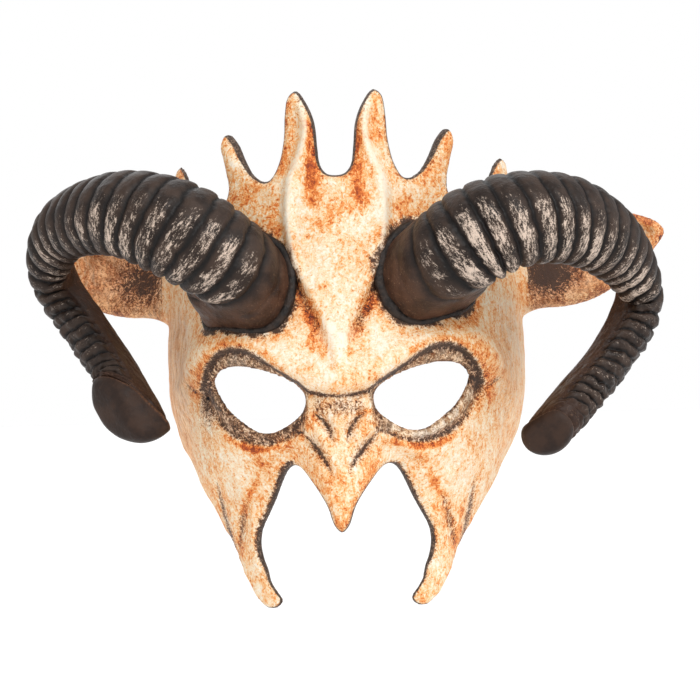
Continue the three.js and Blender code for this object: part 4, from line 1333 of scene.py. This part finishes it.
def make_pad(node):
    """A cloth cover blown out over a pad's CAD solid."""
    made = bpy.data.objects.new(f"{node}_cover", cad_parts[node].data.copy())
    bpy.context.scene.collection.objects.link(made)
    bpy.context.view_layer.objects.active = made
    change(made, "REMESH", mode="VOXEL", voxel_size=PAD_VOXEL)
    change(made, "DISPLACE", mid_level=0, strength=-PAD_SHRINK)
    rest = np.array([v.co for v in made.data.vertices], float)
    cloth = made.modifiers.new("cloth", "CLOTH")
    cloth.settings.use_pressure = True
    cloth.settings.uniform_pressure_force = 5
    cloth.settings.effector_weights.gravity = 0
    cloth.settings.quality = 4
    for number in range(1, 16):
        bpy.context.scene.frame_set(number)
    evaluated = made.evaluated_get(bpy.context.evaluated_depsgraph_get())
    blown = np.array([v.co for v in evaluated.data.vertices], float)
    made.modifiers.remove(cloth)
    bpy.context.scene.frame_set(1)
    move = blown - rest
    size = np.linalg.norm(move, axis=1)[:, None]
    rest = rest + move * np.minimum(1, PAD_MOST / np.maximum(size, 1e-9))
    made.data.vertices.foreach_set("co", rest.astype(np.float32).ravel())
    change(made, "SMOOTH", iterations=4)
    change(made, "SUBSURF", levels=1, render_levels=1)
    made.data.shade_smooth()
    settle(made, FOAM, "mask", "foam", node)


for node, fill in (("brow_pad", 0.7), ("cheek_pad_left", 0.6), ("cheek_pad_right", 0.6)):
    make_pad(node)

# ---------------------------------------------------------------- straps


TAB_OUT_X = float(half_width(PIVOT_Z)) - WALL - 2 * GAP
BAND_OUT_X = TAB_OUT_X - TAB_THICK - GAP
BAND_MIDDLE_X = BAND_OUT_X - BAND_THICK / 2


def bezier(a, b, c, d, count):
    t = np.linspace(0, 1, count)[:, None]
    return a * (1 - t) ** 3 + 3 * b * t * (1 - t) ** 2 + 3 * c * t**2 * (1 - t) + d * t**3


def strap(node, line, half_high, thick, body, high=lambda share: 1.0):
    """Webbing with rounded edges that stands on edge along a line in X and Y, in place of a CAD node."""
    line = polyline(line, 1.2)
    run = run_along(line)
    way = unit(np.gradient(line, axis=0))
    normal = np.stack([way[:, 1], -way[:, 0]], axis=1)
    angles = turns(40)
    up = np.sign(np.sin(angles)) * np.abs(np.sin(angles)) ** 0.35
    out = np.sign(np.cos(angles)) * np.abs(np.cos(angles)) ** 0.5
    rings, runs, crosses = [], [], []
    for (x, y), (nx, ny), length in zip(line, normal, run):
        tall = half_high * high(length / run[-1])
        off = out * thick / 2
        rings.append(np.stack([x + nx * off, y + ny * off, PIVOT_Z + up * tall], axis=1))
        runs.append(np.full(len(angles), length))
        crosses.append(up * tall)
    verts, faces = loft(np.array(rings))
    values = {
        "run": np.concatenate([np.ravel(runs), [0, run[-1]]]),
        "cross": np.concatenate([np.ravel(crosses), [0, 0]]),
    }
    made = face_outwards(make_object(f"{node}_webbing", verts, faces, values))
    settle(made, WEBBING, body, "webbing", node)


def band_line():
    start, turn = PIVOT_Y - 6, PIVOT_Y + 10
    corner = np.array([BAND_MIDDLE_X, BAND_BACK_Y])
    side = np.array([BAND_MIDDLE_X, turn])
    back = np.array([BAND_STRAIGHT, BAND_BACK_Y])
    bend = bezier(side, side + (corner - side) * 0.6, back + (corner - back) * 0.6, back, 40)
    half = np.vstack([[(BAND_MIDDLE_X, start)], bend])
    return np.vstack([half, half[::-1] * (-1, 1)])


def tab_line(sign):
    y = np.linspace(*TAB_Y, 60)
    z = PIVOT_Z
    theta = np.arccos(np.clip((rim_y(z) - y) / (rim_y(z) - front_y(z)), -1, 1))
    reach = np.minimum(TAB_OUT_X, (half_width(z) - WALL - GAP) * np.sin(theta) - GAP)
    x = np.where(y > -1, TAB_OUT_X, reach) - TAB_THICK / 2
    return np.stack([sign * x, y], axis=1)


def tab_end(share):
    """How high a tab is, as a share of its full height: its back end is rounded."""
    return 1 - 0.35 * float(step(share, 0.88, 1)) ** 2


THREAD_FAT = 0.26
STITCH_ROW = 6.5  # above and below the tab's middle
STITCH_PITCH = 2.6


def stitches(name, places):
    """Short raised threads on the mask at places, laid along Y."""
    reach = np.linspace(-1, 1, 7)[:, None, None]
    angles = turns(6)
    around = np.stack([-np.sin(angles), 0 * angles, -np.cos(angles)], axis=1)
    thread = reach * (0, 1, 0) + THREAD_FAT * np.sqrt(np.maximum(1 - reach * reach, 0.02)) * around
    points, faces = [], []
    for place in places:
        verts, quads = loft(place + thread)
        faces.extend([[i + len(points) for i in f] for f in quads])
        points.extend(verts.tolist())
    settle(make_object(name, points, faces), THREAD, "mask", "webbing")


strap("headband", band_line(), BAND_HALF_HIGH, BAND_THICK, "headband")
for side, sign in SIDES.items():
    strap(f"strap_tab_{side}", tab_line(sign), TAB_HALF_HIGH, TAB_THICK, "mask", tab_end)
for side, sign in SIDES.items():
    line = tab_line(sign)
    places = []
    for z in (PIVOT_Z - STITCH_ROW, PIVOT_Z + STITCH_ROW):
        for y in np.arange(-19, -4, STITCH_PITCH):
            x = np.interp(y, line[:, 1], sign * line[:, 0]) - TAB_THICK / 2
            places.append(np.array([sign * x, y, z]))
    stitches(f"tab_stitching_{side}", places)

# ---------------------------------------------------------------- carried-over CAD nodes


def dress(node, material, bevel):
    """Paints a CAD node and rounds its edges."""
    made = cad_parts[node]
    made.data.materials.clear()
    made.data.materials.append(material)
    rounding = made.modifiers.new("rounding", "BEVEL")
    rounding.width = bevel * MM
    rounding.segments = 3
    rounding.limit_method = "ANGLE"
    rounding.angle_limit = math.radians(35)
    rounding.harden_normals = False
    made.data.shade_smooth()
    made.modifiers.new("normals", "WEIGHTED_NORMAL").keep_sharp = True


for side in SIDES:
    dress(f"horn_washer_{side}", STEEL, 0.15)
    dress(f"horn_screw_{side}", STEEL, 0.2)
    dress(f"strap_rivet_{side}", STEEL, 0.2)
dress("strap_adjuster", PLASTIC, 0.6)

# ---------------------------------------------------------------- floor, lights

FLOOR_Z = -300
FLOOR_RINGS = (400, 1200, 3000, 7000, 14000)
AMBIENT = 0.53
SUNS = [  # name, azimuth, elevation, strength and softness in degrees
    ("key", 25, 42, 1.8, 40),
    ("fill", -55, 20, 0.55, 70),
    ("side", 85, 20, 0.8, 60),
    ("back", 200, 40, 0.8, 60),
]


def make_floor():
    count = 96
    angles = turns(count)
    circle = np.stack([np.cos(angles), np.sin(angles), 0 * angles], axis=1)
    points = np.vstack([r * circle + (0, 0, FLOOR_Z) for r in FLOOR_RINGS])
    faces = ring_faces(len(FLOOR_RINGS), count).tolist() + [list(range(count))[::-1]]
    floor = make_object("floor", points, faces)
    floor.data.materials.append(floor_paint())


def make_world():
    """Soft light from all round, seen as a white backdrop."""
    world = bpy.data.worlds.new("studio")
    world.use_nodes = True
    nodes, links = world.node_tree.nodes, world.node_tree.links
    light = nodes["Background"]
    light.inputs["Strength"].default_value = AMBIENT
    backdrop = nodes.new("ShaderNodeBackground")
    backdrop.inputs["Strength"].default_value = 1.0
    for shade in (light, backdrop):
        shade.inputs["Color"].default_value = (1, 1, 1, 1)
    seen = nodes.new("ShaderNodeLightPath")
    either = nodes.new("ShaderNodeMixShader")
    links.new(seen.outputs["Is Camera Ray"], either.inputs[0])
    links.new(light.outputs[0], either.inputs[1])
    links.new(backdrop.outputs[0], either.inputs[2])
    links.new(either.outputs[0], nodes["World Output"].inputs["Surface"])
    bpy.context.scene.world = world


def make_sun(name, azimuth, elevation, strength, soft):
    """A broad soft light from far away; azimuth 0 shines along +Y and 90 along -X."""
    a, e = math.radians(azimuth), math.radians(elevation)
    lamp = bpy.data.lights.new(name, "SUN")
    lamp.energy = strength
    lamp.angle = math.radians(soft)
    made = bpy.data.objects.new(name, lamp)
    source = Vector((math.sin(a) * math.cos(e), -math.cos(a) * math.cos(e), math.sin(e)))
    made.rotation_euler = source.to_track_quat("Z", "Y").to_euler()
    bpy.context.scene.collection.objects.link(made)


make_floor()
make_world()
for sun in SUNS:
    make_sun(*sun)

bpy.context.scene.view_settings.view_transform = "Standard"
